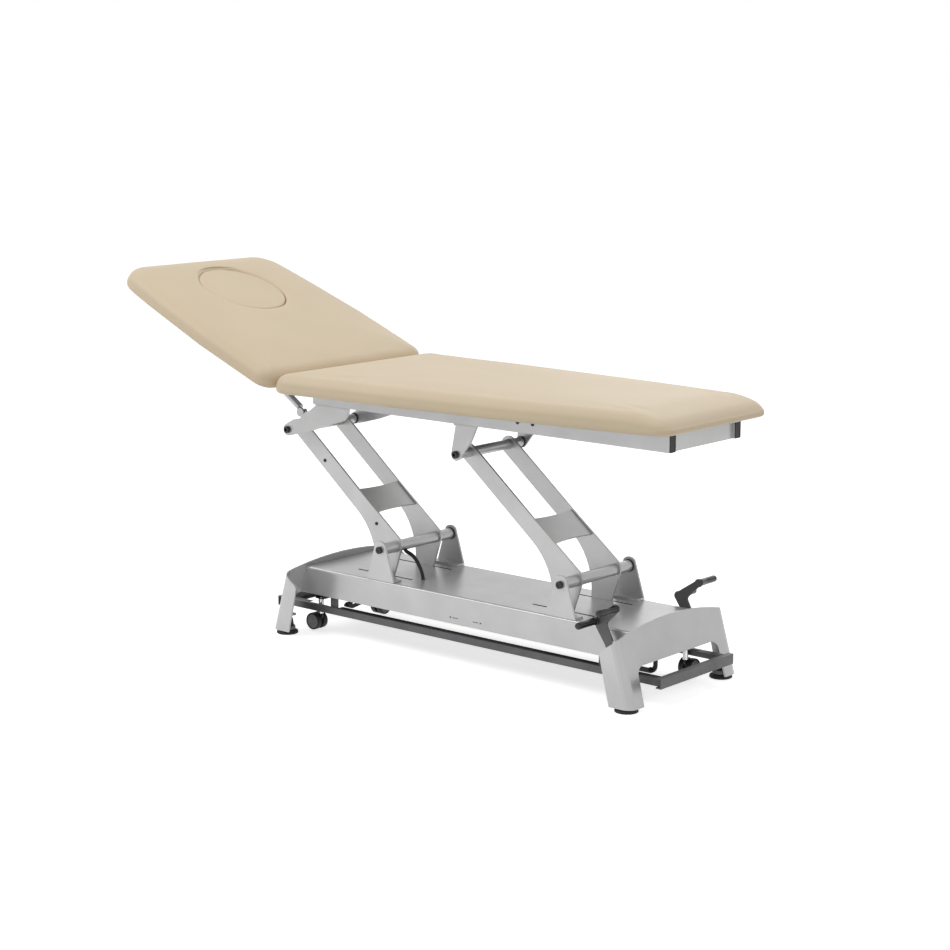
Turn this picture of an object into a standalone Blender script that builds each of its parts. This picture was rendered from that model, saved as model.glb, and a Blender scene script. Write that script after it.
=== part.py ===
"""Height-adjustable massage table: a parallelogram lift on a low base, two cushions.

Metres, +Z up. +X points at the foot end, the head end is at -X, the near side at -Y.
The pieces are placed from the middle of the base, and the last step moves the whole table
so that its origin is the bottom centre of everything.
"""

import math

import bmesh
import bpy
from mathutils import Matrix, Vector

# Fits
GAP = 0.0003
OVERRUN = 0.05
MERGE = 0.00001
ARC_STEP = math.radians(22.5)
CHORD_ERROR = 0.0003
ROUND_SIDES = 18
SMALL_SIDES = 12
EASE_SHARE = 0.9

# Base channel
CHANNEL_WIDTH = 0.310
CHANNEL_HEIGHT = 0.080
CHANNEL_SHEET = 0.003
CHANNEL_BEND = 0.006
DECK_Z = 0.192

# End panels
PANEL_REACH = 0.649
PANEL_LEAN = math.radians(16.17)
PANEL_WIDTH = 0.490
PANEL_SHEET = 0.005
PANEL_BEND = 0.026
PANEL_TOP_Z = 0.213
PANEL_SHOULDER_Z = 0.184
LEG_END_Z = 0.012
LEG_OPENING = 0.370
LEG_OPENING_TAPER = 0.010
LEG_OPENING_Z = 0.111
LEG_OPENING_ROUND = 0.025
FLANGE_DEPTH_AT_END = 0.058
FLANGE_DEPTH_AT_TOP = 0.064
FLANGE_TOP_Z = 0.150
FLANGE_ROUND = 0.012
FOOT_PLATE_Z = 0.056
FOOT_PLATE_SHEET = 0.006

# Levelling feet
FOOT_SETBACK = 0.036
FOOT_X = PANEL_REACH - FOOT_SETBACK
FOOT_Y = 0.214
PAD_RADIUS = 0.0315
PAD_HEIGHT = 0.0115
COLLAR_RADIUS = 0.0225
COLLAR_HEIGHT = 0.020
CONE_RADIUS = 0.012
CONE_HEIGHT = 0.012
STEM_RADIUS = 0.006
STEM_TOP_Z = 0.092

# Lift geometry
HEAD_PIVOT_SHARE = 0.46071
FOOT_PIVOT_SHARE = 0.53698
HEAD_PIVOT_X = -PANEL_REACH * HEAD_PIVOT_SHARE
FOOT_PIVOT_X = PANEL_REACH * FOOT_PIVOT_SHARE
PIVOT_Z = 0.281
ARM_LENGTH = 0.481
ARM_ANGLE = math.radians(39.2)
ARM_PLATE = 0.006
ARM_SPREAD = 0.170
ARM_INNER_HALF = 0.023
ARM_OUTER_HALF = 0.028
ARM_SHOULDER_HALF = 0.027
ARM_END_ROUND = 0.0254
ARM_SHOULDER_ALONG = 0.206
ARM_HEEL_ROUND = 0.200
LOWER_TUBE_RADIUS = 0.016
UPPER_TUBE_RADIUS = 0.014
TAIL_BACK = 0.076
TAIL_FRONT = 0.022
TAIL_FRONT_LEAN = 0.341
TAIL_END = 0.166
TAIL_ROUND = 0.015
DRIVE_PIN_BACK = 0.046
DRIVE_PIN_DROP = 0.150
DRIVE_PIN_RADIUS = 0.007
SLOT_WIDTH = 0.008
SLOT_BACK = 0.150
SLOT_FRONT = 0.061

# Cross plates of the lifters
WEB_START = 0.115
WEB_END = 0.208
WEB_SHEET = 0.004
WEB_RISE = 0.018
WEB_WAIST = 0.004

# Brackets and bolts
BRACKET_PLATE = 0.006
BRACKET_TOP_RADIUS = 0.025
BRACKET_BASE_HALF = 0.051
BRACKET_FLANGE = 0.034
JOURNAL_RADIUS = 0.006
BOLT_HEAD_RADIUS = 0.010
BOLT_HEAD_HEIGHT = 0.008
BUSH_RADIUS = 0.013
BUSH_WIDTH = 0.003

# Top frame
RAIL_OUTER = 0.317
RAIL_WIDTH = 0.025
RAIL_HEIGHT = 0.052
RAIL_WALL = 0.002
RAIL_LIFT = 0.0883
RAIL_BOTTOM_Z = PIVOT_Z + ARM_LENGTH * math.sin(ARM_ANGLE) + RAIL_LIFT
RAIL_HEAD_X = -0.550
RAIL_FOOT_X = 0.695
CROSS_INSET = 0.006
UPPER_BRACKET_OUTER = 0.288
UPPER_FLANGE = 0.004
UPPER_HEAD_RADIUS = 0.018
UPPER_FOOT_RADIUS = 0.0175
UPPER_HEAD_LENGTH = 0.247
UPPER_FOOT_LENGTH = 0.0765
SPRING_EAR_RADIUS = 0.013
SPRING_EAR_PLATE = 0.0045
SPRING_PIN_RADIUS = 0.004

# Cushions
CUSHION_HEIGHT = 0.055
CUSHION_BASE_Z = RAIL_BOTTOM_Z + RAIL_HEIGHT + GAP
CUSHION_FOOT_X = 0.7375
CUSHION_EDGE_ROUND = 0.020
CUSHION_UNDER_ROUND = 0.012
CUSHION_CROWN = 0.003
EDGE_STEPS = 3
CROWN_SHARES = ((0.78, 0.6), (0.45, 1.0))
SEAM_HALF = 0.0055
HEAD_TILT = math.radians(21.9)
HINGE_X = -0.5566
HINGE_HEIGHT = 0.024
HEAD_LENGTH = 0.7197
HEAD_HALF_WIDTH = 0.339
BODY_CORNER = 0.095
HEAD_CORNER = 0.090
SEAM_CORNER = 0.030
BODY_WIDTH_SHARES = (
    (0.00, 1.000), (0.16, 0.962), (0.32, 0.950), (0.43, 0.914), (0.58, 0.870),
    (0.69, 0.838), (0.81, 0.788), (0.87, 0.758), (1.00, 0.700),
)
HEAD_WIDTH_SHARES = (
    (0.00, 1.000), (0.41, 1.000), (0.49, 0.987), (0.58, 0.972), (0.66, 0.960),
    (0.76, 0.942), (0.86, 0.918), (1.00, 0.878),
)

# Face opening and its plug
PLUG_RADIUS = 0.135
PLUG_ALONG = 0.4947
PLUG_GAP = 0.0005
PLUG_ROUND = 0.005
PLUG_CROWN_SHARE = 0.7
PLUG_SIDES = 40

# Head frame and hinge
HEAD_RAIL_SPREAD = 0.340
HEAD_RAIL_WIDTH = 0.025
HEAD_RAIL_HEIGHT = 0.020
HEAD_RAIL_START = 0.060
HEAD_RAIL_END = 0.665
HEAD_BAR_MIDDLE = 0.300
KNUCKLE_RADIUS = 0.004
KNUCKLE_NECK = 0.005
HINGE_PIN_RADIUS = 0.0025
HEAD_LUG_Y = 0.0845
HINGE_LUG_WIDTH = 0.022
HINGE_LUG_STEP = 0.0025
HINGE_TONGUE_SHARE = 0.6
MEMBER_SETBACK = 0.014

# Gas spring
SPRING_INSET = 0.045
SPRING_Y = SPRING_INSET - HEAD_RAIL_SPREAD / 2
SPRING_FOOT_AHEAD = 0.0497
SPRING_FOOT_X = HEAD_PIVOT_X - ARM_LENGTH * math.cos(ARM_ANGLE) + SPRING_FOOT_AHEAD
SPRING_FOOT_DEPTH = 0.0323
SPRING_FOOT_Z = RAIL_BOTTOM_Z - SPRING_FOOT_DEPTH
SPRING_END_ALONG = 0.371
SPRING_END_DROP = 0.0517
CYLINDER_RADIUS = 0.0105
CYLINDER_START = 0.016
CYLINDER_END = 0.215
ROD_RADIUS = 0.0045
ROD_INSIDE = 0.105
EYE_RADIUS = 0.008
EYE_WIDTH = 0.010
SPRING_LUG_SHEET = 0.004

# Actuator and control box
ACTUATOR_RADIUS = 0.022
ACTUATOR_Z = 0.146
ACTUATOR_AHEAD = 0.099
ACTUATOR_LENGTH = 0.350
ACTUATOR_FRONT_X = HEAD_PIVOT_X + ACTUATOR_AHEAD
ACTUATOR_REAR_X = ACTUATOR_FRONT_X + ACTUATOR_LENGTH
ACTUATOR_ROD_RADIUS = 0.011
ACTUATOR_BORE = 0.260
ACTUATOR_ROD_INSIDE = 0.140
YOKE_BACK_SLACK = 0.0015
YOKE_FRONT_SLACK = 0.008
YOKE_WALL = 0.007
YOKE_LOW_Z = 0.1085
YOKE_TOP_Z = 0.184
YOKE_DEPTH = 0.020
SADDLE_SHEET = 0.006
BOX_LENGTH = 0.095
BOX_WIDTH = 0.120
BOX_HEIGHT = 0.038
BOX_SETBACK = 0.104
BOX_HEAD_X = BOX_SETBACK - PANEL_REACH
BOX_EDGE = 0.003
INLET_WIDTH = 0.048
INLET_HEIGHT = 0.028
INLET_DEPTH = 0.016
INLET_WALL = 0.003

# Castors and their lift
CASTOR_SETBACK = 0.099
CASTOR_X = PANEL_REACH - CASTOR_SETBACK
CASTOR_Y = 0.137
CASTOR_TRAIL = 0.018
WHEEL_RADIUS = 0.025
WHEEL_LIFT = 0.005
WHEEL_TREAD = 0.016
WHEEL_GAP = 0.009
WHEEL_ROUND = 0.003
WHEEL_SIDES = 24
CASTOR_YAWS = (
    ("head", "near", -1, -1, 180), ("head", "far", -1, 1, -90),
    ("foot", "near", 1, -1, 180), ("foot", "far", 1, 1, 90),
)
AXLE_RADIUS = 0.005
FORK_SHEET = 0.007
FORK_BOSS_RADIUS = 0.014
FORK_TOP_Z = 0.063
CASTOR_STEM_RADIUS = 0.007
BEAM_BOTTOM_Z = 0.098
BEAM_HEIGHT = 0.016
BEAM_WIDTH = 0.030
BEAM_SHEET = 0.003
BEAM_LENGTH = 0.290
SHAFT_AHEAD = 0.0036
SHAFT_X = CASTOR_X + SHAFT_AHEAD
SHAFT_Z = 0.125
SHAFT_RADIUS = 0.008
HUB_WALL = 0.002
CRANK_REACH = 0.0325
CRANK_SHEET = 0.004
CRANK_Y = 0.066
CRANK_PIN_RADIUS = 0.004
LUG_SLOT_SLACK = 0.0055
LUG_SLOT_RISE = 0.0006
LINK_Y = -0.036
LINK_AHEAD = 0.006
LINK_DROP = 0.063
LINK_WIDTH = 0.013
LINK_CLEAR = 0.004
LINK_CRANK_WIDTH = 0.012
LINK_RAISE = 0.022
LINK_RAISE_RUN = 0.044
LINK_HEAD_INSET = 0.035
LINK_FOOT_INSET = 0.070
HEAD_SHAFT_X = SHAFT_X - 2 * CASTOR_X
LEVER_SHEET = 0.005
LEVER_SPREAD = 0.362
GRIP_RADIUS = 0.008
GRIP_LENGTH = 0.076
GRIP_RING_RADIUS = 0.0105
GRIP_RING_WIDTH = 0.005
LEVER_LENGTH = 0.131
LEVER_SHARES = (
    (-0.587, 0.685, 0.07), (0.024, 1.087, 0.05), (0.076, 0.963, 0.05), (-0.245, 0.65, 0.07),
    (-0.066, 0.305, 0.3), (0.13, 0.0, 0.10), (0.04, -0.13, 0.10), (-0.14, -0.05, 0.10),
    (-0.264, 0.218, 0.3),
)
GRIP_SHARES = ((-0.493, 0.668), (0.008, 1.0))

# Control loop
LOOP_BAR_SPREAD = 0.305
LOOP_BAR_WIDTH = 0.008
LOOP_BAR_BOTTOM_Z = 0.064
LOOP_BAR_HEIGHT = 0.020
LOOP_FOOT_PAST = 0.036
LOOP_HEAD_PAST = 0.051
LOOP_FOOT_X = PANEL_REACH + LOOP_FOOT_PAST
LOOP_HEAD_X = -PANEL_REACH - LOOP_HEAD_PAST
LOOP_END_HALF = 0.165
LOOP_END_SHEET = 0.0035
LOOP_END_FLANGE = 0.016
HANGER_SETBACK = 0.162
HANGER_X = PANEL_REACH - HANGER_SETBACK
HANGER_Z = 0.128
HANGER_SHAFT_RADIUS = 0.005
HANGER_STRAP_WIDTH = 0.028
HANGER_STRAP_SHEET = 0.004

# Conduit
CONDUIT_RADIUS = 0.0057
CONDUIT_Y = -0.060
CONDUIT_HOLE_SLACK = 0.001
CONDUIT_AHEAD = 0.0795
CONDUIT_END_X = HEAD_PIVOT_X + CONDUIT_AHEAD
CONDUIT_INSIDE = 0.018
CONDUIT_START_ANGLE = 50
CONDUIT_SHARES = ((0.49, 0.29), (0.72, 0.47), (0.92, 0.76))

NEAR = -1
FAR = 1
HEAD = -1
FOOT = 1

# Colours, roughness and metallic of each finish
FINISHES = {
    "powder_grey": ((0.62, 0.62, 0.61), 0.42, 0.1),
    "dark_steel": ((0.06, 0.06, 0.065), 0.45, 0.6),
    "black_plastic": ((0.02, 0.02, 0.02), 0.5, 0.0),
    "zinc_steel": ((0.6, 0.6, 0.6), 0.3, 1.0),
    "grip_rubber": ((0.03, 0.03, 0.032), 0.7, 0.0),
    "vinyl": ((0.72, 0.66, 0.56), 0.45, 0.0),
    "aluminium": ((0.7, 0.7, 0.7), 0.35, 0.9),
}


# Scene, collections and materials

def clear_scene():
    for old in list(bpy.data.objects):
        bpy.data.objects.remove(old, do_unlink=True)


def new_collection(name):
    collection = bpy.data.collections.new(name)
    bpy.context.scene.collection.children.link(collection)
    return collection


clear_scene()
TABLE = new_collection("massage_table")
CUTTERS = new_collection("cutters")
ROOT = bpy.data.objects.new("massage_table_root", None)
TABLE.objects.link(ROOT)


def paint(piece, finish):
    colour, roughness, metallic = FINISHES[finish]
    material = bpy.data.materials.new(piece.name)
    material.use_nodes = True
    shader = material.node_tree.nodes["Principled BSDF"]
    shader.inputs["Base Color"].default_value = (*colour, 1)
    shader.inputs["Roughness"].default_value = roughness
    shader.inputs["Metallic"].default_value = metallic
    piece.data.materials.clear()
    piece.data.materials.append(material)


def as_piece(piece, finish, origin=None, turn=0.0):
    """Put an object among the table's pieces, its origin on its joint, turned about Y."""
    for collection in list(piece.users_collection):
        collection.objects.unlink(piece)
    TABLE.objects.link(piece)
    origin = Vector(origin or (0, 0, 0))
    piece.data.transform(Matrix.Translation(-origin))
    for modifier in piece.modifiers:
        if modifier.type == "BOOLEAN":
            follow(modifier.object, piece, origin)
    piece.location = origin
    piece.rotation_euler.y = turn
    piece.parent = ROOT
    paint(piece, finish)
    smooth(piece)
    return piece


def follow(tool, piece, origin):
    """Keep a cutter where it was on the piece, now in the piece's own frame."""
    tool.parent = piece
    tool.location = -origin
    for modifier in tool.modifiers:
        follow(modifier.object, piece, origin)


def smooth(piece):
    piece.data.shade_smooth()
    piece.data.set_sharp_from_angle(angle=math.radians(40))


# Shapes

def mesh_object(name, bm):
    mesh = bpy.data.meshes.new(name)
    bm.normal_update()
    bm.to_mesh(mesh)
    bm.free()
    shape = bpy.data.objects.new(name, mesh)
    CUTTERS.objects.link(shape)
    return shape


def block(name, low, high):
    """A box between two corners."""
    low = Vector(low)
    high = Vector(high)
    bm = bmesh.new()
    bmesh.ops.create_cube(bm, size=1)
    bmesh.ops.scale(bm, vec=high - low, verts=bm.verts)
    bmesh.ops.translate(bm, vec=(low + high) / 2, verts=bm.verts)
    return mesh_object(name, bm)


def rod(name, start, end, radius, sides=ROUND_SIDES):
    """A round bar between two points."""
    start = Vector(start)
    end = Vector(end)
    bm = bmesh.new()
    bmesh.ops.create_cone(
        bm, cap_ends=True, segments=sides, radius1=radius, radius2=radius,
        depth=(end - start).length,
    )
    turn = (end - start).to_track_quat("Z", "Y").to_matrix().to_4x4()
    bm.transform(Matrix.Translation((start + end) / 2) @ turn)
    return mesh_object(name, bm)


def turned(name, profile, sides=ROUND_SIDES):
    """A turned shape: (radius, height) points from the top down, closed on the Z axis."""
    bm = bmesh.new()
    points = [bm.verts.new((radius, 0, height)) for radius, height in profile]
    for first, second in zip(points, points[1:]):
        bm.edges.new((first, second))
    shape = mesh_object(name, bm)
    screw = shape.modifiers.new("turn", "SCREW")
    screw.steps = sides
    screw.render_steps = sides
    screw.use_merge_vertices = True
    screw.merge_threshold = MERGE
    return settled(shape)


def settled(shape):
    """The shape with its modifiers applied, as a plain mesh."""
    depsgraph = bpy.context.evaluated_depsgraph_get()
    mesh = bpy.data.meshes.new_from_object(shape.evaluated_get(depsgraph))
    mesh.transform(shape.matrix_world)
    bm = bmesh.new()
    bm.from_mesh(mesh)
    bmesh.ops.remove_doubles(bm, verts=bm.verts, dist=MERGE)
    bmesh.ops.recalc_face_normals(bm, faces=bm.faces)
    bm.to_mesh(mesh)
    bm.free()
    solid = bpy.data.objects.new(shape.name, mesh)
    CUTTERS.objects.link(solid)
    name = shape.name
    bpy.data.objects.remove(shape, do_unlink=True)
    solid.name = name
    return solid


def flat_curve(name, loops, thickness):
    """A flat outline and its holes, thick along the curve's own Z."""
    curve = bpy.data.curves.new(name, "CURVE")
    curve.dimensions = "2D"
    curve.fill_mode = "BOTH"
    curve.extrude = thickness / 2
    for loop in loops:
        spline = curve.splines.new("POLY")
        spline.points.add(len(loop) - 1)
        for point, (x, y) in zip(spline.points, loop):
            point.co = (x, y, 0, 1)
        spline.use_cyclic_u = True
    shape = bpy.data.objects.new(name, curve)
    CUTTERS.objects.link(shape)
    bpy.context.view_layer.update()
    return settled(shape)


def side_plate(name, loops, y, thickness):
    """A plate cut to an outline in X and Z, its middle at y."""
    plate = flat_curve(name, loops, thickness)
    plate.data.transform(Matrix.Translation((0, y, 0)) @ Matrix.Rotation(math.pi / 2, 4, "X"))
    return plate


def plan_plate(name, loops, z, thickness):
    """A plate cut to an outline in X and Y, its middle at z."""
    plate = flat_curve(name, loops, thickness)
    plate.data.transform(Matrix.Translation((0, 0, z)))
    return plate


def end_plate(name, loops, x, thickness):
    """A plate cut to an outline in Y and Z, its middle at x."""
    plate = flat_curve(name, loops, thickness)
    upright = Matrix.Rotation(math.pi / 2, 4, "Z") @ Matrix.Rotation(math.pi / 2, 4, "X")
    plate.data.transform(Matrix.Translation((x, 0, 0)) @ upright)
    return plate


def circle(x, y, radius, sides=ROUND_SIDES):
    steps = [2 * math.pi * step / sides for step in range(sides)]
    return [(x + radius * math.cos(a), y + radius * math.sin(a)) for a in steps]


def rounded(corners):
    """An outline from (x, y, radius) corners, each turned into an arc of its radius."""
    points = []
    count = len(corners)
    for index, (x, y, radius) in enumerate(corners):
        here = Vector((x, y))
        before = (Vector(corners[index - 1][:2]) - here).normalized()
        after = (Vector(corners[(index + 1) % count][:2]) - here).normalized()
        opening = before.angle(after)
        if radius == 0 or opening > math.radians(179):
            points.append((x, y))
            continue
        reach = radius / math.tan(opening / 2)
        centre = here + (before + after).normalized() * radius / math.sin(opening / 2)
        start = here + before * reach - centre
        swing = math.pi - opening
        turn = 1 if start.cross(here + after * reach - centre) > 0 else -1
        fine_step = 2 * math.acos(max(0, 1 - CHORD_ERROR / radius))
        steps = max(2, round(swing / min(ARC_STEP, fine_step)))
        for step in range(steps + 1):
            arm = start.copy()
            arm.rotate(Matrix.Rotation(turn * swing * step / steps, 2))
            points.append(tuple(centre + arm))
    return points


def tangent_hump(base_half, height, radius):
    """An upright bracket's outline: straight sides that run into a round top at a pivot."""
    reach = math.hypot(base_half, height)
    lean = math.atan2(height, -base_half) + math.asin(radius / reach)
    first = lean - math.pi / 2
    steps = max(4, round((math.pi - 2 * first) / ARC_STEP))
    arc = [first + (math.pi - 2 * first) * step / steps for step in range(steps + 1)]
    top = [(radius * math.cos(a), height + radius * math.sin(a)) for a in arc]
    return [(-base_half, 0), (base_half, 0)] + top


def rectangle(x_low, y_low, x_high, y_high):
    return [(x_low, y_low), (x_high, y_low), (x_high, y_high), (x_low, y_high)]


def shifted(loop, dx, dz):
    return [(x + dx, z + dz) for x, z in loop]


def mirrored(shape, name, axis):
    """A mirrored copy of a finished shape, across the middle plane of X or Y."""
    scale = Vector((1, 1, 1))
    scale[axis] = -1
    mesh = shape.data.copy()
    mesh.transform(Matrix.Diagonal((*scale, 1)))
    mesh.flip_normals()
    copy = bpy.data.objects.new(name, mesh)
    CUTTERS.objects.link(copy)
    return copy


def combine(shape, tool, operation):
    boolean = shape.modifiers.new(tool.name, "BOOLEAN")
    boolean.operation = operation
    boolean.solver = "EXACT"
    boolean.object = tool
    tool.display_type = "WIRE"
    tool.hide_render = True
    return shape


def cut(shape, *tools):
    for tool in tools:
        combine(shape, tool, "DIFFERENCE")
    return shape


def weld(shape, *tools):
    for tool in tools:
        combine(shape, tool, "UNION")
    return shape


def trim(shape, *tools):
    for tool in tools:
        combine(shape, tool, "INTERSECT")
    return shape


# Base channel and end panels

CHANNEL_HALF = CHANNEL_WIDTH / 2
SEAT_HALF = CHANNEL_HALF - CHANNEL_SHEET / 2
DECK_UNDER_Z = DECK_Z - CHANNEL_SHEET
ARM_HALF = ARM_SPREAD / 2
ARM_INNER_Y = ARM_HALF - ARM_PLATE / 2
ARM_OUTER_Y = ARM_HALF + ARM_PLATE / 2


def panel_x(z):
    """Where an end panel's outer face lies at a height, measured from the table's middle."""
    return PANEL_REACH - math.tan(PANEL_LEAN) * (z - LEG_END_Z)


def panel_inner_x(z):
    return panel_x(z) - PANEL_SHEET / math.cos(PANEL_LEAN)


def channel_end(name, side):
    """The slanted cut that lets the channel butt against an end panel."""
    low = DECK_Z - CHANNEL_HEIGHT - OVERRUN
    high = DECK_Z + OVERRUN
    outline = [
        (side * (panel_inner_x(low) - GAP), low),
        (side * (PANEL_REACH + OVERRUN), low),
        (side * (PANEL_REACH + OVERRUN), high),
        (side * (panel_inner_x(high) - GAP), high),
    ]
    return side_plate(name, [outline], 0, CHANNEL_WIDTH + OVERRUN)


def base_channel():
    low_z = DECK_Z - CHANNEL_HEIGHT
    inner = CHANNEL_HALF - CHANNEL_SHEET
    inner_bend = CHANNEL_BEND - CHANNEL_SHEET
    section = rounded([
        (-CHANNEL_HALF, low_z, 0), (-inner, low_z, 0),
        (-inner, DECK_UNDER_Z, inner_bend), (inner, DECK_UNDER_Z, inner_bend),
        (inner, low_z, 0), (CHANNEL_HALF, low_z, 0),
        (CHANNEL_HALF, DECK_Z, CHANNEL_BEND), (-CHANNEL_HALF, DECK_Z, CHANNEL_BEND),
    ])
    channel = end_plate("base_channel", [section], 0, 2 * PANEL_REACH)
    tools = [channel_end("channel_end_head", HEAD), channel_end("channel_end_foot", FOOT)]
    for pivot in (HEAD_PIVOT_X, FOOT_PIVOT_X):
        for side in (NEAR, FAR):
            middle = (2 * pivot + SLOT_FRONT - SLOT_BACK) / 2
            half = (SLOT_FRONT + SLOT_BACK) / 2
            round_end = SLOT_WIDTH / 2 - GAP
            slot = rounded([
                (middle + dx * half, side * ARM_HALF + dy * SLOT_WIDTH / 2, round_end)
                for dx, dy in ((-1, -1), (1, -1), (1, 1), (-1, 1))
            ])
            tools.append(plan_plate("arm_slot", [slot], DECK_Z, CHANNEL_BEND * 2))
    hole = circle(CONDUIT_END_X, CONDUIT_Y, CONDUIT_RADIUS + CONDUIT_HOLE_SLACK, SMALL_SIDES)
    tools.append(plan_plate("conduit_hole", [hole], DECK_Z, CHANNEL_BEND * 2))
    for x, z, radius, reach in (
        (SHAFT_X, SHAFT_Z, SHAFT_RADIUS, CHANNEL_HALF + OVERRUN),
        (HEAD_SHAFT_X, SHAFT_Z, SHAFT_RADIUS, SEAT_HALF),
        (HANGER_X, HANGER_Z, HANGER_SHAFT_RADIUS, SEAT_HALF),
        (-HANGER_X, HANGER_Z, HANGER_SHAFT_RADIUS, SEAT_HALF),
    ):
        tools.append(rod("shaft_hole", (x, -reach, z), (x, reach, z), radius + GAP))
    return as_piece(cut(channel, *tools), "powder_grey")


def panel_sheet():
    """The foot panel's bent sheet before trimming: face, two bends and two flanges."""
    half = PANEL_WIDTH / 2
    depth = FLANGE_DEPTH_AT_TOP + 2 * PANEL_BEND
    inner = half - PANEL_SHEET
    inner_bend = PANEL_BEND - PANEL_SHEET
    profile = rounded([
        (-depth, -half, 0), (0, -half, PANEL_BEND), (0, half, PANEL_BEND), (-depth, half, 0),
        (-depth, inner, 0), (-PANEL_SHEET, inner, inner_bend),
        (-PANEL_SHEET, -inner, inner_bend), (-depth, -inner, 0),
    ])
    height = PANEL_TOP_Z + 2 * OVERRUN
    sheet = plan_plate("panel_sheet", [profile], height / 2 - OVERRUN, height)
    sheet.data.transform(
        Matrix.Translation((panel_x(0), 0, 0)) @ Matrix.Rotation(-PANEL_LEAN, 4, "Y")
    )
    return sheet


def panel_front_outline():
    """What is left of the panel seen from the end: arched top, opening between the legs."""
    half = PANEL_WIDTH / 2 + OVERRUN
    drop = (PANEL_TOP_Z - PANEL_SHOULDER_Z) * (half / (PANEL_WIDTH / 2)) ** 2
    radius = (half ** 2 + drop ** 2) / (2 * drop)
    swing = math.asin(half / radius)
    steps = 4 * round(swing / ARC_STEP) + 8
    arch = []
    for step in range(steps + 1):
        angle = swing * (1 - 2 * step / steps)
        height = PANEL_TOP_Z - radius * (1 - math.cos(angle))
        arch.append((radius * math.sin(angle), height, 0))
    end_half = LEG_OPENING / 2
    top_half = end_half - LEG_OPENING_TAPER / 2
    return rounded(arch + [
        (-half, LEG_END_Z, 0), (-end_half, LEG_END_Z, 0),
        (-top_half, LEG_OPENING_Z, LEG_OPENING_ROUND),
        (top_half, LEG_OPENING_Z, LEG_OPENING_ROUND),
        (end_half, LEG_END_Z, 0), (half, LEG_END_Z, 0),
    ])


def panel_side_outline():
    """What is left of the panel seen from the side: the flanges taper towards the top."""
    end_x = panel_x(LEG_END_Z)
    top_x = panel_x(FLANGE_TOP_Z) - FLANGE_DEPTH_AT_TOP
    back_x = panel_x(PANEL_SHOULDER_Z) - 2 * PANEL_SHEET - PANEL_SHEET / 2
    high = PANEL_TOP_Z + OVERRUN
    return rounded([
        (end_x - FLANGE_DEPTH_AT_END, LEG_END_Z - OVERRUN, 0),
        (end_x + OVERRUN, LEG_END_Z - OVERRUN, 0),
        (end_x + OVERRUN, high, 0), (back_x, high, 0),
        (back_x, PANEL_SHOULDER_Z - PANEL_SHEET, 0), (top_x, FLANGE_TOP_Z, FLANGE_ROUND),
    ])


def foot_plate(side):
    """The small plate inside a leg that carries a levelling foot."""
    top = FOOT_PLATE_Z
    low = top - FOOT_PLATE_SHEET
    inner_y = LEG_OPENING / 2 + PANEL_SHEET
    outer_y = PANEL_WIDTH / 2 - PANEL_SHEET / 2
    back = FOOT_X - STEM_RADIUS * 2
    front = panel_x(top) - PANEL_SHEET / 2
    outline = [
        (back, side * inner_y), (front, side * inner_y), (front, side * (outer_y - PANEL_BEND)),
        (front - PANEL_BEND, side * outer_y), (back, side * outer_y),
    ]
    plate = plan_plate("foot_plate", [outline], (low + top) / 2, FOOT_PLATE_SHEET)
    stem = rod(
        "stem_hole", (FOOT_X, side * FOOT_Y, low - OVERRUN),
        (FOOT_X, side * FOOT_Y, top + OVERRUN), STEM_RADIUS + GAP, SMALL_SIDES,
    )
    return plate, stem


def end_panels():
    width = PANEL_WIDTH + 2 * OVERRUN
    sheet = trim(
        panel_sheet(),
        end_plate("panel_front", [panel_front_outline()], PANEL_REACH, 2 * width),
        side_plate("panel_side", [panel_side_outline()], 0, width),
    )
    for side in (NEAR, FAR):
        plate, stem = foot_plate(side)
        weld(sheet, plate)
        cut(sheet, stem)
    foot = settled(sheet)
    foot.name = "end_panel_foot"
    head = mirrored(foot, "end_panel_head", 0)
    as_piece(foot, "powder_grey")
    as_piece(head, "powder_grey")


def levelling_foot(name, x, y):
    pad_top = PAD_HEIGHT
    collar_top = pad_top + COLLAR_HEIGHT
    cone_top = collar_top + CONE_HEIGHT - GAP
    edge = PAD_HEIGHT / 6
    foot = turned(name, [
        (0, STEM_TOP_Z), (STEM_RADIUS, STEM_TOP_Z), (STEM_RADIUS, cone_top),
        (CONE_RADIUS, cone_top), (CONE_RADIUS * 1.7, collar_top),
        (COLLAR_RADIUS, collar_top), (COLLAR_RADIUS, pad_top), (PAD_RADIUS - edge, pad_top),
        (PAD_RADIUS, pad_top - edge), (PAD_RADIUS, edge), (PAD_RADIUS - edge, 0), (0, 0),
    ])
    foot.data.transform(Matrix.Translation((x, y, 0)))
    return as_piece(foot, "black_plastic", (x, y, 0))


# Lifters: brackets, arms, cross plates and tubes

ARM_DIRECTION = Vector((-math.cos(ARM_ANGLE), math.sin(ARM_ANGLE)))
ARM_NORMAL = Vector((math.sin(ARM_ANGLE), math.cos(ARM_ANGLE)))
BRACKET_INNER_Y = CHANNEL_HALF - BRACKET_PLATE
UPPER_OUTER_Y = UPPER_BRACKET_OUTER / 2
UPPER_INNER_Y = UPPER_OUTER_Y - BRACKET_PLATE


def on_arm(along, across):
    """X and Z of a point on an arm, measured from its lower pivot with the table at rest."""
    return ARM_DIRECTION * along + ARM_NORMAL * across


def upper_pivot(pivot_x):
    top = on_arm(ARM_LENGTH, 0)
    return pivot_x + top.x, PIVOT_Z + top.y


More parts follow.
